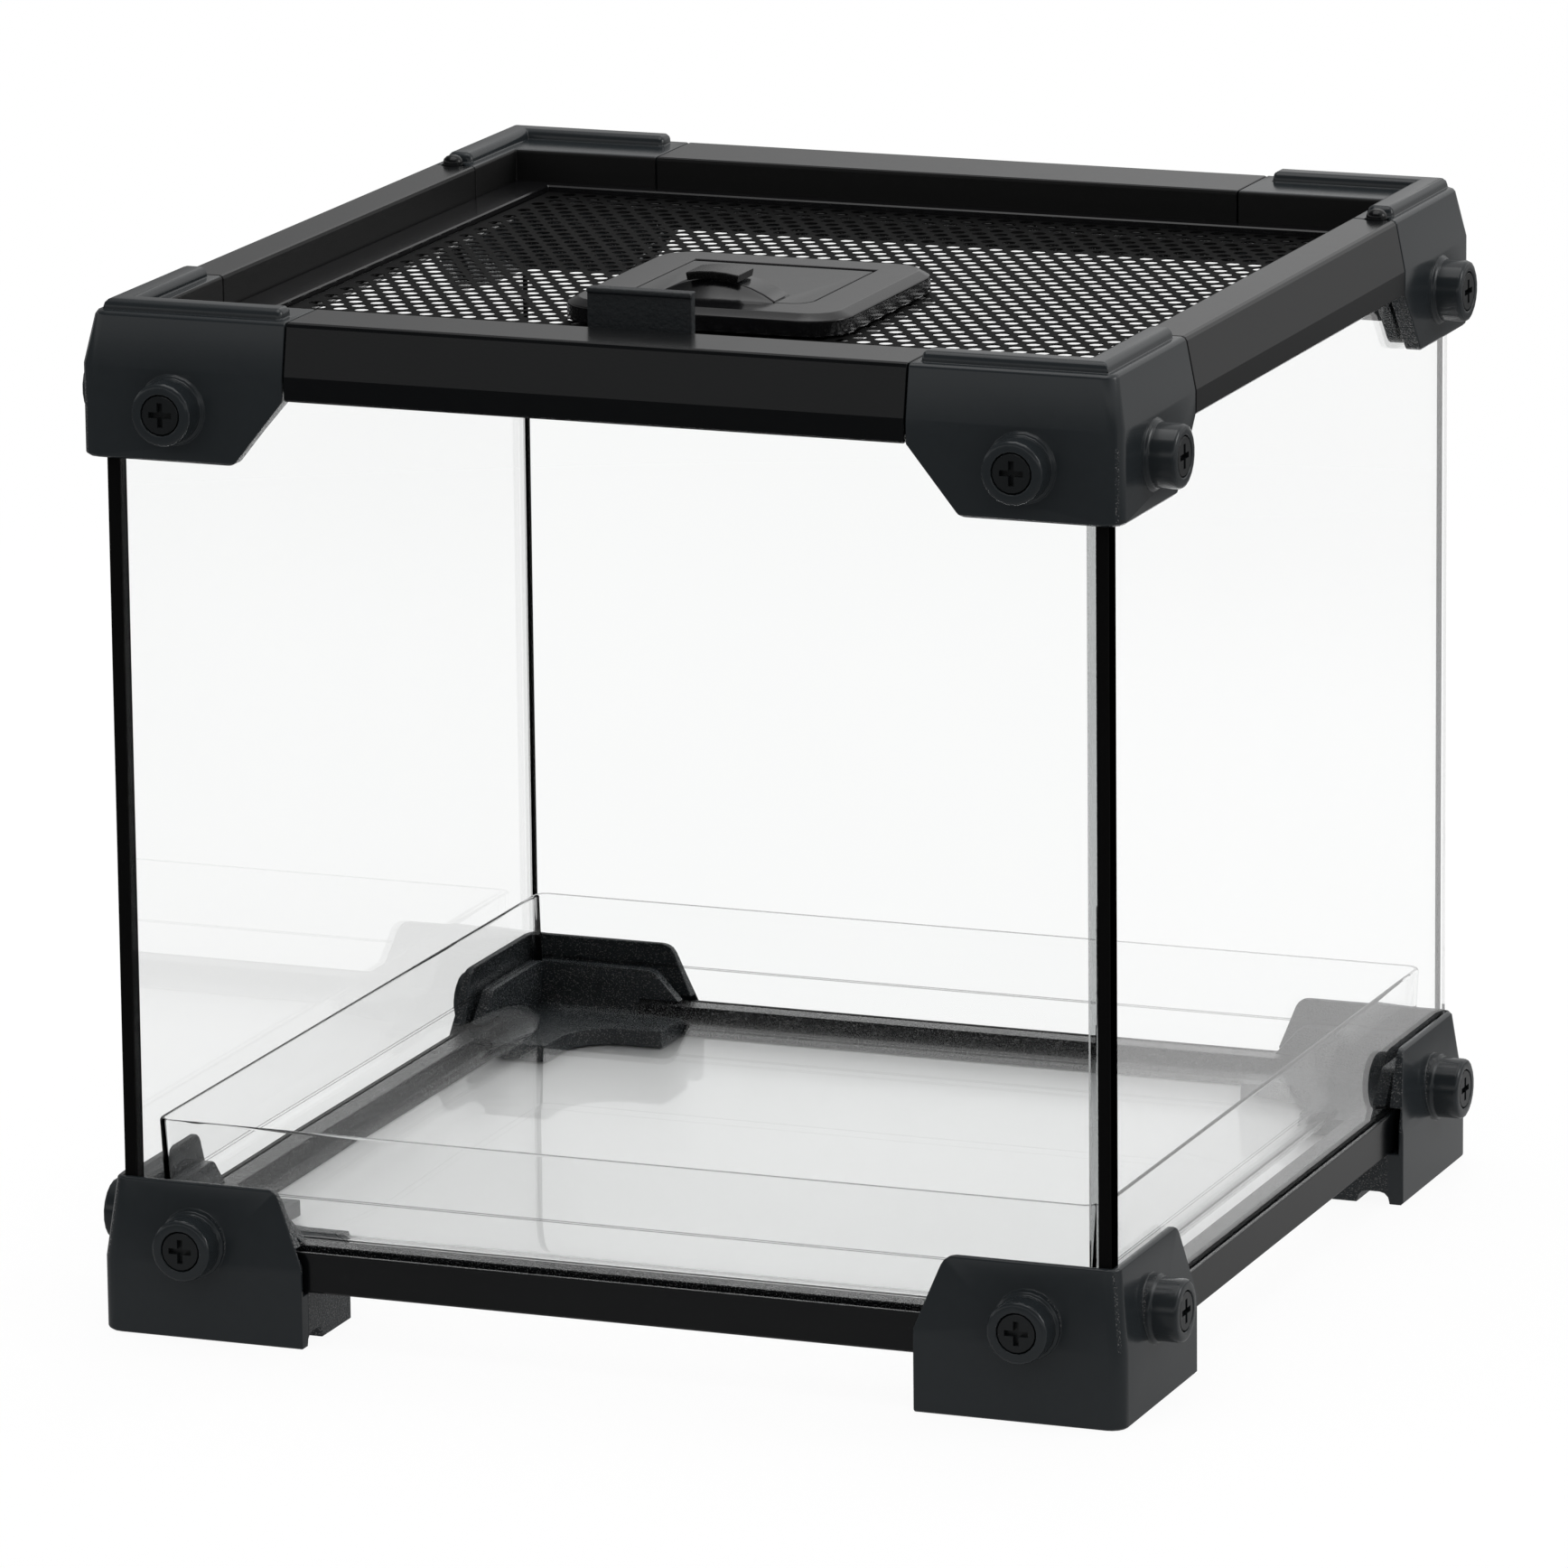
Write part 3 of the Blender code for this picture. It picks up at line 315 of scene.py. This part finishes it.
def moulded_plastic(name, dark, light, roughness, specular, grain=0.0):
    """Black plastic with a fine even texture.

    With grain it is cast coarser inside the glass and on the arms' ends, with lighter specks there that are
    partly the grain's own tone and partly painted glints. The top opening's walls get painted shade, a
    near-black colour, and a duller gloss.
    """
    material, sheet = new_sheet(name)
    place = sheet.place()
    x, y, z = sheet.parts(place)
    cloud = sheet.noise(place, 45.0, 3.0)
    mottle = sheet.noise(place, 3.0, 4.0, 0.6)
    fine = sheet.noise(place, 0.32, 2.0)
    base = sheet.mix(cloud * 0.55 + mottle * 0.45, dark, light)
    rough = sheet.spread(cloud * 0.4 + mottle * 0.6, roughness - 0.04, roughness + 0.04)
    height = fine * 0.3 + mottle * 0.1
    if grain:
        mask = grained_places(sheet, x, y, z) * grain
        height = height + sheet.noise(place, 0.45, 1.0, 0.4) * mask * GRAIN_HEIGHT
        rough = rough + mask * GRAIN_ROUGH
        # Lighter specks on the grained places: partly the grain's own tone, partly painted glints where
        # coarse grain catches light
        speck = sheet.step(sheet.noise(place, 0.28, 0.0), *SPECK_EDGE)
        base = sheet.mix(speck * mask, base, grey(0.1))
        # Painted shade: the opening's inner walls are coloured near-black where they lie in shadow; only
        # the added roughness is real
        opening_shade = (x.size() < OPENING_SIDE) * (y < OPENING_REAR) * (y > OPENING_FRONT) * (z > OPENING_LOW)
        base = sheet.mix(opening_shade, base, grey(0.001))
        rough = rough + opening_shade * OPENING_ROUGH
    shader = sheet.shader(
        Base_Color=base,
        Roughness=rough,
        Normal=sheet.bump(height, 0.02),
        Specular_IOR_Level=specular,
    )
    sheet.end(shader)
    return material


def grained_plastic(name, dark, light, roughness, depth, size, specular=0.5):
    """Plastic with a coarse cast grain all over."""
    material, sheet = new_sheet(name)
    place = sheet.place()
    grain = sheet.noise(place, size, 2.0, 0.5)
    cloud = sheet.noise(place, 14.0, 3.0)
    base = sheet.mix(grain * 0.6 + cloud * 0.4, dark, light)
    rough = sheet.spread(grain, roughness - 0.1, roughness + 0.12)
    shader = sheet.shader(
        Base_Color=base, Roughness=rough, Normal=sheet.bump(grain, depth), Specular_IOR_Level=specular
    )
    sheet.end(shader)
    return material


def coated_mesh(name):
    """Thin black coating on punched aluminium."""
    material, sheet = new_sheet(name)
    place = sheet.place()
    speck = sheet.noise(place, 0.5, 3.0)
    cloud = sheet.noise(place, 20.0, 2.0)
    base = sheet.mix(speck, colour(0.0015, 0.0015, 0.0015), colour(0.003, 0.003, 0.0032))
    rough = sheet.spread(speck * 0.6 + cloud * 0.4, 0.5, 0.75)
    shader = sheet.shader(
        Base_Color=base, Roughness=rough, Normal=sheet.bump(speck, 0.02), Specular_IOR_Level=0.08
    )
    sheet.end(shader)
    return material


def brushed_steel(name):
    """Bright steel drawn along X."""
    material, sheet = new_sheet(name)
    place = sheet.place()
    stretch = sheet.node("ShaderNodeVectorMath", {"operation": "MULTIPLY"}, {0: place, 1: (0.05, 2.0, 2.0)})
    lines = sheet.noise(stretch, 0.5, 3.0)
    base = sheet.mix(lines, colour(0.45, 0.45, 0.46), colour(0.62, 0.62, 0.61))
    rough = sheet.spread(lines, 0.22, 0.42)
    sheet.end(sheet.shader(Base_Color=base, Roughness=rough, Metallic=1.0, Normal=sheet.bump(lines, 0.004)))
    return material


def tray_painted_dark_lines(sheet, place):
    """1 on the tray's rim and where its walls meet the round edge, where dark lines are painted as shade
    that stands in for refraction.
    """
    z = sheet.parts(place)[2]
    rim = sheet.step(z, TRAY_RIM - RIM_LINE[0], TRAY_RIM - RIM_LINE[1])
    bend = 1 - sheet.step((z - (TRAY_BOTTOM + TRAY_CURVE)).size(), *BEND_LINE)
    return rim.most(bend)


def clear_material(name, tint, ior, lines=None, **others):
    """Glass or clear plastic with faint smears, which lets the lamps' light through, and with painted dark
    lines where they are given.
    """
    material, sheet = new_sheet(name)
    place = sheet.place()
    smear = sheet.noise(place, 50.0, 3.0)
    darker = tuple(part * 0.99 for part in tint[:3])
    base = sheet.mix(smear, colour(*darker), tint)
    # Painted shade: given lines darken the clear colour, standing in for refraction at the tray's curves
    if lines:
        base = sheet.mix(lines(sheet, place) * PAINTED_LINE_STRENGTH, base, grey(0.1))
    others = {"Transmission_Weight": 1.0, **others}
    solid = sheet.shader(Base_Color=base, Roughness=0.0, IOR=ior, **others)
    open_way = sheet.node("ShaderNodeBsdfTransparent")
    in_shadow = light_path(sheet, "Is Shadow Ray")
    sheet.end(sheet.between(in_shadow, solid, open_way))
    return material


# Studio


def light_path(sheet, kind):
    return sheet.node("ShaderNodeLightPath", output=kind)


def straight_view(sheet):
    """1 for the camera's rays, also through glass, that haven't bounced off anything yet."""
    glossy = light_path(sheet, "Glossy Depth")
    diffuse = light_path(sheet, "Diffuse Depth")
    through = light_path(sheet, "Is Transmission Ray") * (glossy + diffuse < 0.5)
    return light_path(sheet, "Is Camera Ray").most(through)


def clear_way(sheet):
    """1 for rays through glass and off faces as smooth as a mirror."""
    mirror = light_path(sheet, "Is Glossy Ray") * light_path(sheet, "Is Singular Ray")
    return light_path(sheet, "Is Transmission Ray").most(mirror)


def dress_world():
    """A soft studio: plain for soft light, brighter behind for gloss and white for the camera."""
    world = bpy.data.worlds.new("studio")
    bpy.context.scene.world = world
    sheet = Sheet(world)
    across, deep, up = sheet.parts(sheet.node("ShaderNodeTexCoord", output="Generated"))
    behind = sheet.step(deep + across * BRIGHT_TURN, *BRIGHT_EDGE)
    left_dim = sheet.spread(sheet.step(across, *LEFT_EDGE), *LEFT_GLOSS)
    back_gloss = sheet.spread(sheet.step(up, *BACK_RISE), *BACK_GLOSS) * left_dim
    band = sheet.step(up, *BAND_RISE) * (1 - sheet.step(up, *BAND_FALL))
    gloss = sheet.blend(behind, sheet.spread(band, *BAND_GLOSS), back_gloss)
    gloss = gloss + sheet.step(up, *TOP_EDGE) * TOP_GLOSS
    gloss = sheet.blend(clear_way(sheet) * behind, gloss, 1.0)
    through = light_path(sheet, "Is Transmission Ray")
    bounced = light_path(sheet, "Diffuse Depth") > 0.5
    soft = sheet.blend(through * bounced, up.most(0.0) * SOFT_RISE + SOFT_LEVEL, 1.0)
    is_gloss = light_path(sheet, "Is Glossy Ray").most(through * (1 - bounced))
    level = sheet.blend(straight_view(sheet), sheet.blend(is_gloss, soft, gloss), 1.0)
    surface = sheet.node("ShaderNodeBackground", sockets={"Color": grey(1.0), "Strength": level})
    sheet.end(surface, "ShaderNodeOutputWorld")


def floor_material():
    """White to the camera with the object's faint shadow, and darker in front for gloss."""
    material, sheet = new_sheet("pale_floor")
    place = sheet.node("ShaderNodeTexCoord", output="Object")
    x, y = sheet.parts(place)[:2]
    reach = sheet.node("ShaderNodeVectorMath", {"operation": "LENGTH"}, {0: place}, output="Value")
    far = sheet.step(reach, FLOOR_NEAR, FLOOR_FAR)
    behind = sheet.step(y + x * BRIGHT_TURN, *FLOOR_EDGE)
    middle = sheet.step(reach, *MIDDLE_REACH)
    away = sheet.step(reach, *FAR_REACH)
    outer = sheet.blend(away, sheet.spread(behind, *MIDDLE_GLOSS), sheet.spread(behind, *FAR_GLOSS))
    gloss = sheet.blend(middle, sheet.spread(behind, *NEAR_GLOSS), outer)
    gloss = sheet.blend(clear_way(sheet) * behind, gloss, 1.0)
    is_gloss = light_path(sheet, "Is Glossy Ray").most(light_path(sheet, "Is Transmission Ray"))
    white = sheet.blend(far, FLOOR_WHITE, 1.0)
    level = sheet.blend(straight_view(sheet), sheet.blend(is_gloss, FLOOR_SOFT, gloss), white)
    glow = sheet.node("ShaderNodeEmission", sockets={"Color": grey(1.0), "Strength": level})
    speck = sheet.noise(place, 0.02, 2.0)
    pale = sheet.mix(speck, grey(0.86), grey(0.9))
    matte = sheet.node("ShaderNodeBsdfDiffuse", sockets={"Color": pale})
    none = sheet.node("ShaderNodeEmission", sockets={"Color": grey(0.0), "Strength": 0.0})
    lit = sheet.between((1 - far) * FLOOR_SHARE, none, matte)
    sheet.end(sheet.node("ShaderNodeAddShader", sockets={0: glow, 1: lit}))
    return material


def add_floor():
    mesh = bpy.data.meshes.new("floor")
    model = bmesh.new()
    bmesh.ops.create_circle(model, cap_ends=True, radius=FLOOR_RADIUS, segments=64)
    model.to_mesh(mesh)
    model.free()
    floor = bpy.data.objects.new("floor", mesh)
    bpy.context.scene.collection.objects.link(floor)
    mesh.materials.append(floor_material())


def add_lamp(name, place, size, power, in_gloss):
    lamp = bpy.data.lights.new(name, "AREA")
    lamp.size = size
    lamp.energy = power
    thing = bpy.data.objects.new(name, lamp)
    bpy.context.scene.collection.objects.link(thing)
    thing.location = place
    thing.rotation_euler = (CAMERA_AIM - Vector(place)).to_track_quat("-Z", "Y").to_euler()
    thing.visible_glossy = in_gloss
    thing.visible_transmission = in_gloss


def add_camera():
    rise, turn = CAMERA_RISE, CAMERA_TURN
    back = Vector((sin(turn) * cos(rise), -cos(turn) * cos(rise), sin(rise)))
    right = Vector((cos(turn), sin(turn), 0.0))
    up = back.cross(right)
    roll = Matrix.Rotation(CAMERA_ROLL, 3, back)
    right, up = roll @ right, roll @ up
    across, high, away = CAMERA_OFFSET
    data = bpy.data.cameras.new("camera")
    data.sensor_width = 36.0
    data.lens = CAMERA_LENS
    data.clip_end = 100.0
    camera = bpy.data.objects.new("camera", data)
    bpy.context.scene.collection.objects.link(camera)
    place = CAMERA_AIM + right * across + up * high + back * away
    camera.matrix_world = Matrix.Translation(place) @ Matrix((right, up, back)).transposed().to_4x4()
    bpy.context.scene.camera = camera


# Pieces


def add_piece(name, mesh, material, body, nodes=()):
    """A new piece on a body, standing for the named CAD nodes."""
    mesh.name = name
    mesh.materials.clear()
    mesh.materials.append(material)
    piece = bpy.data.objects.new(name, mesh)
    bpy.context.scene.collection.objects.link(piece)
    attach(piece, body)
    if nodes:
        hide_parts(*nodes)
    return piece


def welded(node):
    """A CAD node's mesh as one skin, with its flat faces as large as convex ones can be."""
    model = bmesh.new()
    model.from_mesh(frame["nodes"][node].data)
    bmesh.ops.remove_doubles(model, verts=model.verts, dist=WELD * MM)
    bmesh.ops.dissolve_limit(model, angle_limit=FLAT_ANGLE, verts=model.verts, edges=model.edges)
    bmesh.ops.connect_verts_concave(model, faces=model.faces)
    return model


def fold(edge):
    """The angle between an edge's two faces, or 0 where it hasn't two."""
    return edge.calc_face_angle(0.0)


def mark_edges(model):
    """Marks as sharp the hard edges and the creases between two wide faces."""
    ends = []
    for edge in model.edges:
        if not edge.is_manifold:
            continue
        angle = fold(edge)
        wide = min(face.calc_area() for face in edge.link_faces) > CREASE_AREA * MM**2
        edge.smooth = not (angle > HARD_ANGLE or (angle > CREASE_ANGLE and wide))
        if not edge.smooth:
            ends += [(edge, vertex) for vertex in edge.verts]
    for edge, vertex in ends:
        draw_out(edge, vertex)
    for face in model.faces:
        face.smooth = True


def draw_out(edge, vertex):
    """Carries a sharp edge on across the narrow faces at its end, because a lone end would shade smooth."""
    while sum(not other.smooth for other in vertex.link_edges) == 1:
        way = (vertex.co - edge.other_vert(vertex).co).normalized()
        onward = []
        for other in vertex.link_edges:
            if other.smooth and fold(other) > FAINT_ANGLE:
                turn = way.dot((other.other_vert(vertex).co - vertex.co).normalized())
                onward.append((turn, other.index, other))
        if not onward or max(onward)[0] < CREASE_LINE:
            return
        edge = max(onward)[2]
        edge.smooth = False
        vertex = edge.other_vert(vertex)


def moulded(node, material, body):
    """The shape of a CAD node with softened edges and smooth rounds."""
    model = welded(node)
    hard = [edge for edge in model.edges if fold(edge) > HARD_ANGLE]
    bmesh.ops.bevel(
        model,
        geom=hard,
        offset=EDGE_WIDTH * MM,
        segments=2,
        profile=0.5,
        affect="EDGES",
        clamp_overlap=False,
    )
    mark_edges(model)
    mesh = finished(model, node)
    stored = mesh.attributes.get("custom_normal")
    if stored:
        mesh.attributes.remove(stored)
    even_out(add_piece("moulded_" + node, mesh, material, body, [node]))


def even_out(piece):
    """Lets the wide faces of a piece lead its smooth shading."""
    weigh = piece.modifiers.new("even_shading", "WEIGHTED_NORMAL")
    weigh.keep_sharp = True


def hexagon_corner(model, corners, x, y):
    """The corner of the mesh's cells at a point, made once and drawn out to the sheet's edges."""
    key = (round(x, 3), round(y, 3))
    if key not in corners:
        if abs(x) > PITCH_X * MESH_COLUMNS / 2 - TOUCH:
            x = MESH_HALF if x > 0 else -MESH_HALF
        if abs(y - MESH_MIDDLE) > PITCH_Y * MESH_ROWS / 2 - TOUCH:
            y = MESH_REAR if y > 0 else MESH_FRONT
        corners[key] = model.verts.new(Vector((x, y, MESH_TOP)) * MM)
    return corners[key]


def cell_rim(model, corners, x, y, half):
    """The corners round one cell of the mesh."""
    low, high = y - PITCH_Y / 2, y + PITCH_Y / 2
    steps = round(half / (PITCH_X / 4))
    xs = [x + PITCH_X / 4 * k for k in range(-steps, steps + 1)]
    points = [(each, low) for each in xs] + [(x + half, y)]
    points += [(each, high) for each in reversed(xs)] + [(x - half, y)]
    return [hexagon_corner(model, corners, *point) for point in points]


def punch(model, rim, x, y):
    """A cell with a round hole in its middle."""
    start = atan2(-PITCH_Y, -PITCH_X) + HOLE_TURN
    ring = []
    for k in range(len(rim)):
        angle = start + 2 * pi * k / len(rim)
        point = (x + HOLE_RADIUS * cos(angle), y + HOLE_RADIUS * sin(angle), MESH_TOP)
        ring.append(model.verts.new(Vector(point) * MM))
    for k in range(len(rim)):
        j = (k + 1) % len(rim)
        model.faces.new((rim[k], rim[j], ring[j], ring[k]))


def punched_mesh():
    """The lid's mesh sheet with its staggered round holes."""
    model = bmesh.new()
    corners = {}
    hole_half, hole_front, hole_rear = HATCH_HOLE
    for row in range(MESH_ROWS):
        y = MESH_MIDDLE + (row - (MESH_ROWS - 1) / 2) * PITCH_Y
        count = MESH_COLUMNS - row % 2
        cells = [((k - (count - 1) / 2) * PITCH_X, PITCH_X / 2) for k in range(count)]
        if row % 2:
            edge = PITCH_X * (MESH_COLUMNS - 0.5) / 2
            cells += [(-edge, PITCH_X / 4), (edge, PITCH_X / 4)]
        is_beside = not hole_front - PITCH_Y / 2 < y < hole_rear + PITCH_Y / 2
        for x, half in cells:
            if not is_beside and abs(x) < hole_half + half:
                continue
            rim = cell_rim(model, corners, x, y, half)
            if half < PITCH_X / 2:
                model.faces.new(rim)
            else:
                punch(model, rim, x, y)
    return finished(model, "punched_mesh")


def finished(model, name):
    """The mesh drawn with bmesh."""
    mesh = bpy.data.meshes.new(name)
    model.to_mesh(mesh)
    model.free()
    return mesh


def lofted(loops, name):
    """A closed smooth skin through loops of equally many points."""
    model = bmesh.new()
    rings = [[model.verts.new(Vector(point) * MM) for point in loop] for loop in loops]
    model.faces.new(rings[0])
    model.faces.new(rings[-1])
    for low, high in zip(rings, rings[1:]):
        for i in range(len(low)):
            j = (i + 1) % len(low)
            model.faces.new((low[i], low[j], high[j], high[i]))
    bmesh.ops.recalc_face_normals(model, faces=model.faces)
    for face in model.faces:
        face.smooth = True
    return finished(model, name)


def rounded_square(half, radius, z):
    """A loop of points round a square with round corners."""
    loop = []
    for corner in range(4):
        start = pi / 2 * corner
        sign_x = 1 if corner in (0, 3) else -1
        sign_y = 1 if corner in (0, 1) else -1
        for k in range(CORNER_STEPS + 1):
            angle = start + pi / 2 * k / CORNER_STEPS
            x = sign_x * (half - radius) + radius * cos(angle)
            y = sign_y * (half - radius) + radius * sin(angle)
            loop.append((x, y, z))
    return loop


def tray_mesh():
    """The clear tray with a smooth quarter round below its walls."""
    floor_half = TRAY_HALF - TRAY_DRAFT - TRAY_CURVE
    centre = TRAY_BOTTOM + TRAY_CURVE
    outer, inner = [], []
    for k in range(CURVE_STEPS + 1):
        angle = pi / 2 * k / CURVE_STEPS
        for points, radius in ((outer, TRAY_CURVE), (inner, TRAY_CURVE - TRAY_WALL)):
            points.append((floor_half + radius * sin(angle), centre - radius * cos(angle)))
    lip_high, lip_wide = TRAY_LIP
    inner_half = TRAY_HALF - TRAY_WALL
    rim = [(TRAY_HALF - TRAY_LIP_BACK, TRAY_RIM - lip_high), (TRAY_HALF - lip_wide, TRAY_RIM)]
    rim += [(inner_half + lip_wide, TRAY_RIM), (inner_half + TRAY_LIP_BACK, TRAY_RIM - lip_high)]
    loops = []
    for half, z in outer + rim + inner[::-1]:
        radius = max(TRAY_CORNER - (TRAY_HALF - half), TRAY_CORNER_LEAST)
        loops.append(rounded_square(half, radius, z))
    return lofted(loops, "tray")


def box_mesh(name, xs, ys, zs):
    model = bmesh.new()
    bmesh.ops.create_cube(model, size=1.0)
    for vert in model.verts:
        for axis, (low, high) in enumerate((xs, ys, zs)):
            vert.co[axis] = (high if vert.co[axis] > 0 else low) * MM
    return finished(model, name)


def opaque_finishes():
    """The material and the record's slot of each moulded node, by the start of its name."""
    cap = moulded_plastic(
        "cap_plastic", colour(0.0155, 0.0185, 0.0205), colour(0.0215, 0.0255, 0.0285), 0.16, 0.42, 1.0
    )
    rail = moulded_plastic(
        "rail_plastic", colour(0.002, 0.0025, 0.003), colour(0.004, 0.0045, 0.005), 0.18, 0.38, 1.0
    )
    lid = moulded_plastic(
        "lid_plastic", colour(0.003, 0.003, 0.0035), colour(0.006, 0.006, 0.0065), 0.18, 0.6
    )
    door = moulded_plastic(
        "door_plastic", colour(0.005, 0.0055, 0.006), colour(0.008, 0.009, 0.0095), 0.2, 0.6
    )
    tab = grained_plastic(
        "tab_plastic", colour(0.008, 0.010, 0.012), colour(0.020, 0.024, 0.027), 0.45, 0.12, 0.7
    )
    grip = grained_plastic("grip_rubber", grey(0.001), grey(0.003), 0.25, 0.01, 0.4)
    seal = grained_plastic("seal_rubber", grey(0.003), grey(0.005), 0.7, 0.02, 0.6, 0.03)
    steel = brushed_steel("pin_steel")
    return {
        "top_cap": (cap, "cap_plastic"),
        "foot": (cap, "cap_plastic"),
        "top_rail": (rail, "rail_plastic"),
        "bottom_rail": (rail, "rail_plastic"),
        "frame_dowel": (rail, "rail_plastic"),
        "lid_frame": (lid, "rail_plastic"),
        "hatch_frame": (lid, "rail_plastic"),
        "hatch_clamp": (lid, "rail_plastic"),
        "hatch_door": (door, "cap_plastic"),
        "hatch_grip": (grip, "grip_rubber"),
        "lid_tab": (tab, "grained_plastic"),
        "lid_pin": (steel, "pin_steel"),
        "hatch_pin": (steel, "pin_steel"),
        "seal": (seal, "seal"),
    }


def kept_finishes():
    """The materials of the nodes that keep their own meshes, by the start of their names."""
    glass = clear_material("pane_glass", colour(0.975, 0.979, 0.977), 1.03)
    side_glass = clear_material("side_pane_glass", colour(0.955, 0.958, 0.957), 1.34)
    floor_glass = clear_material(
        "floor_glass",
        colour(0.97, 0.975, 0.975),
        1.05,
        Transmission_Weight=0.5,
        Coat_Weight=1.0,
        Coat_IOR=2.2,
        Coat_Roughness=0.3,
    )
    screw = moulded_plastic(
        "screw_plastic", colour(0.007, 0.008, 0.009), colour(0.011, 0.013, 0.014), 0.3, 0.4
    )
    return {
        "glass_front": glass,
        "glass_rear": glass,
        "glass_left": side_glass,
        "glass_right": side_glass,
        "glass_floor": floor_glass,
        "screw": screw,
    }


def chosen(finishes, node):
    """The finish whose name starts a node's name."""
    return next((finish for start, finish in finishes.items() if node.startswith(start)), None)


def add_lid_mesh(node, body):
    coating = coated_mesh("mesh_coating")
    piece = add_piece("punched_lid_mesh", punched_mesh(), coating, body, [node])
    thick = piece.modifiers.new("thickness", "SOLIDIFY")
    thick.thickness = MESH_THICK * MM
    thick.offset = -1.0


def add_clear_tray(node, body):
    clear = clear_material("tray_plastic", colour(0.990, 0.992, 0.992), 1.1, tray_painted_dark_lines)
    even_out(add_piece("clear_tray", tray_mesh(), clear, body, [node]))


def dress_nodes():
    moulded_ones = opaque_finishes()
    kept_ones = kept_finishes()
    for node, thing in frame["nodes"].items():
        body = thing["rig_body"]
        kept = chosen(kept_ones, node)
        if node == "lid_mesh":
            add_lid_mesh(node, body)
        elif node == "tray":
            add_clear_tray(node, body)
        elif kept:
            thing.data.materials.clear()
            thing.data.materials.append(kept)
        else:
            material, slot = chosen(moulded_ones, node)
            moulded(node, material, body)
    bead = clear_material("bead_plastic", colour(0.46, 0.47, 0.47), 1.15)
    add_piece("corner_bead", box_mesh("bead", *BEAD), bead, "tank")


def main():
    bpy.context.scene.view_settings.view_transform = "Standard"
    dress_world()
    add_floor()
    add_camera()
    for lamp in LAMPS:
        add_lamp(*lamp)
    dress_nodes()


main()
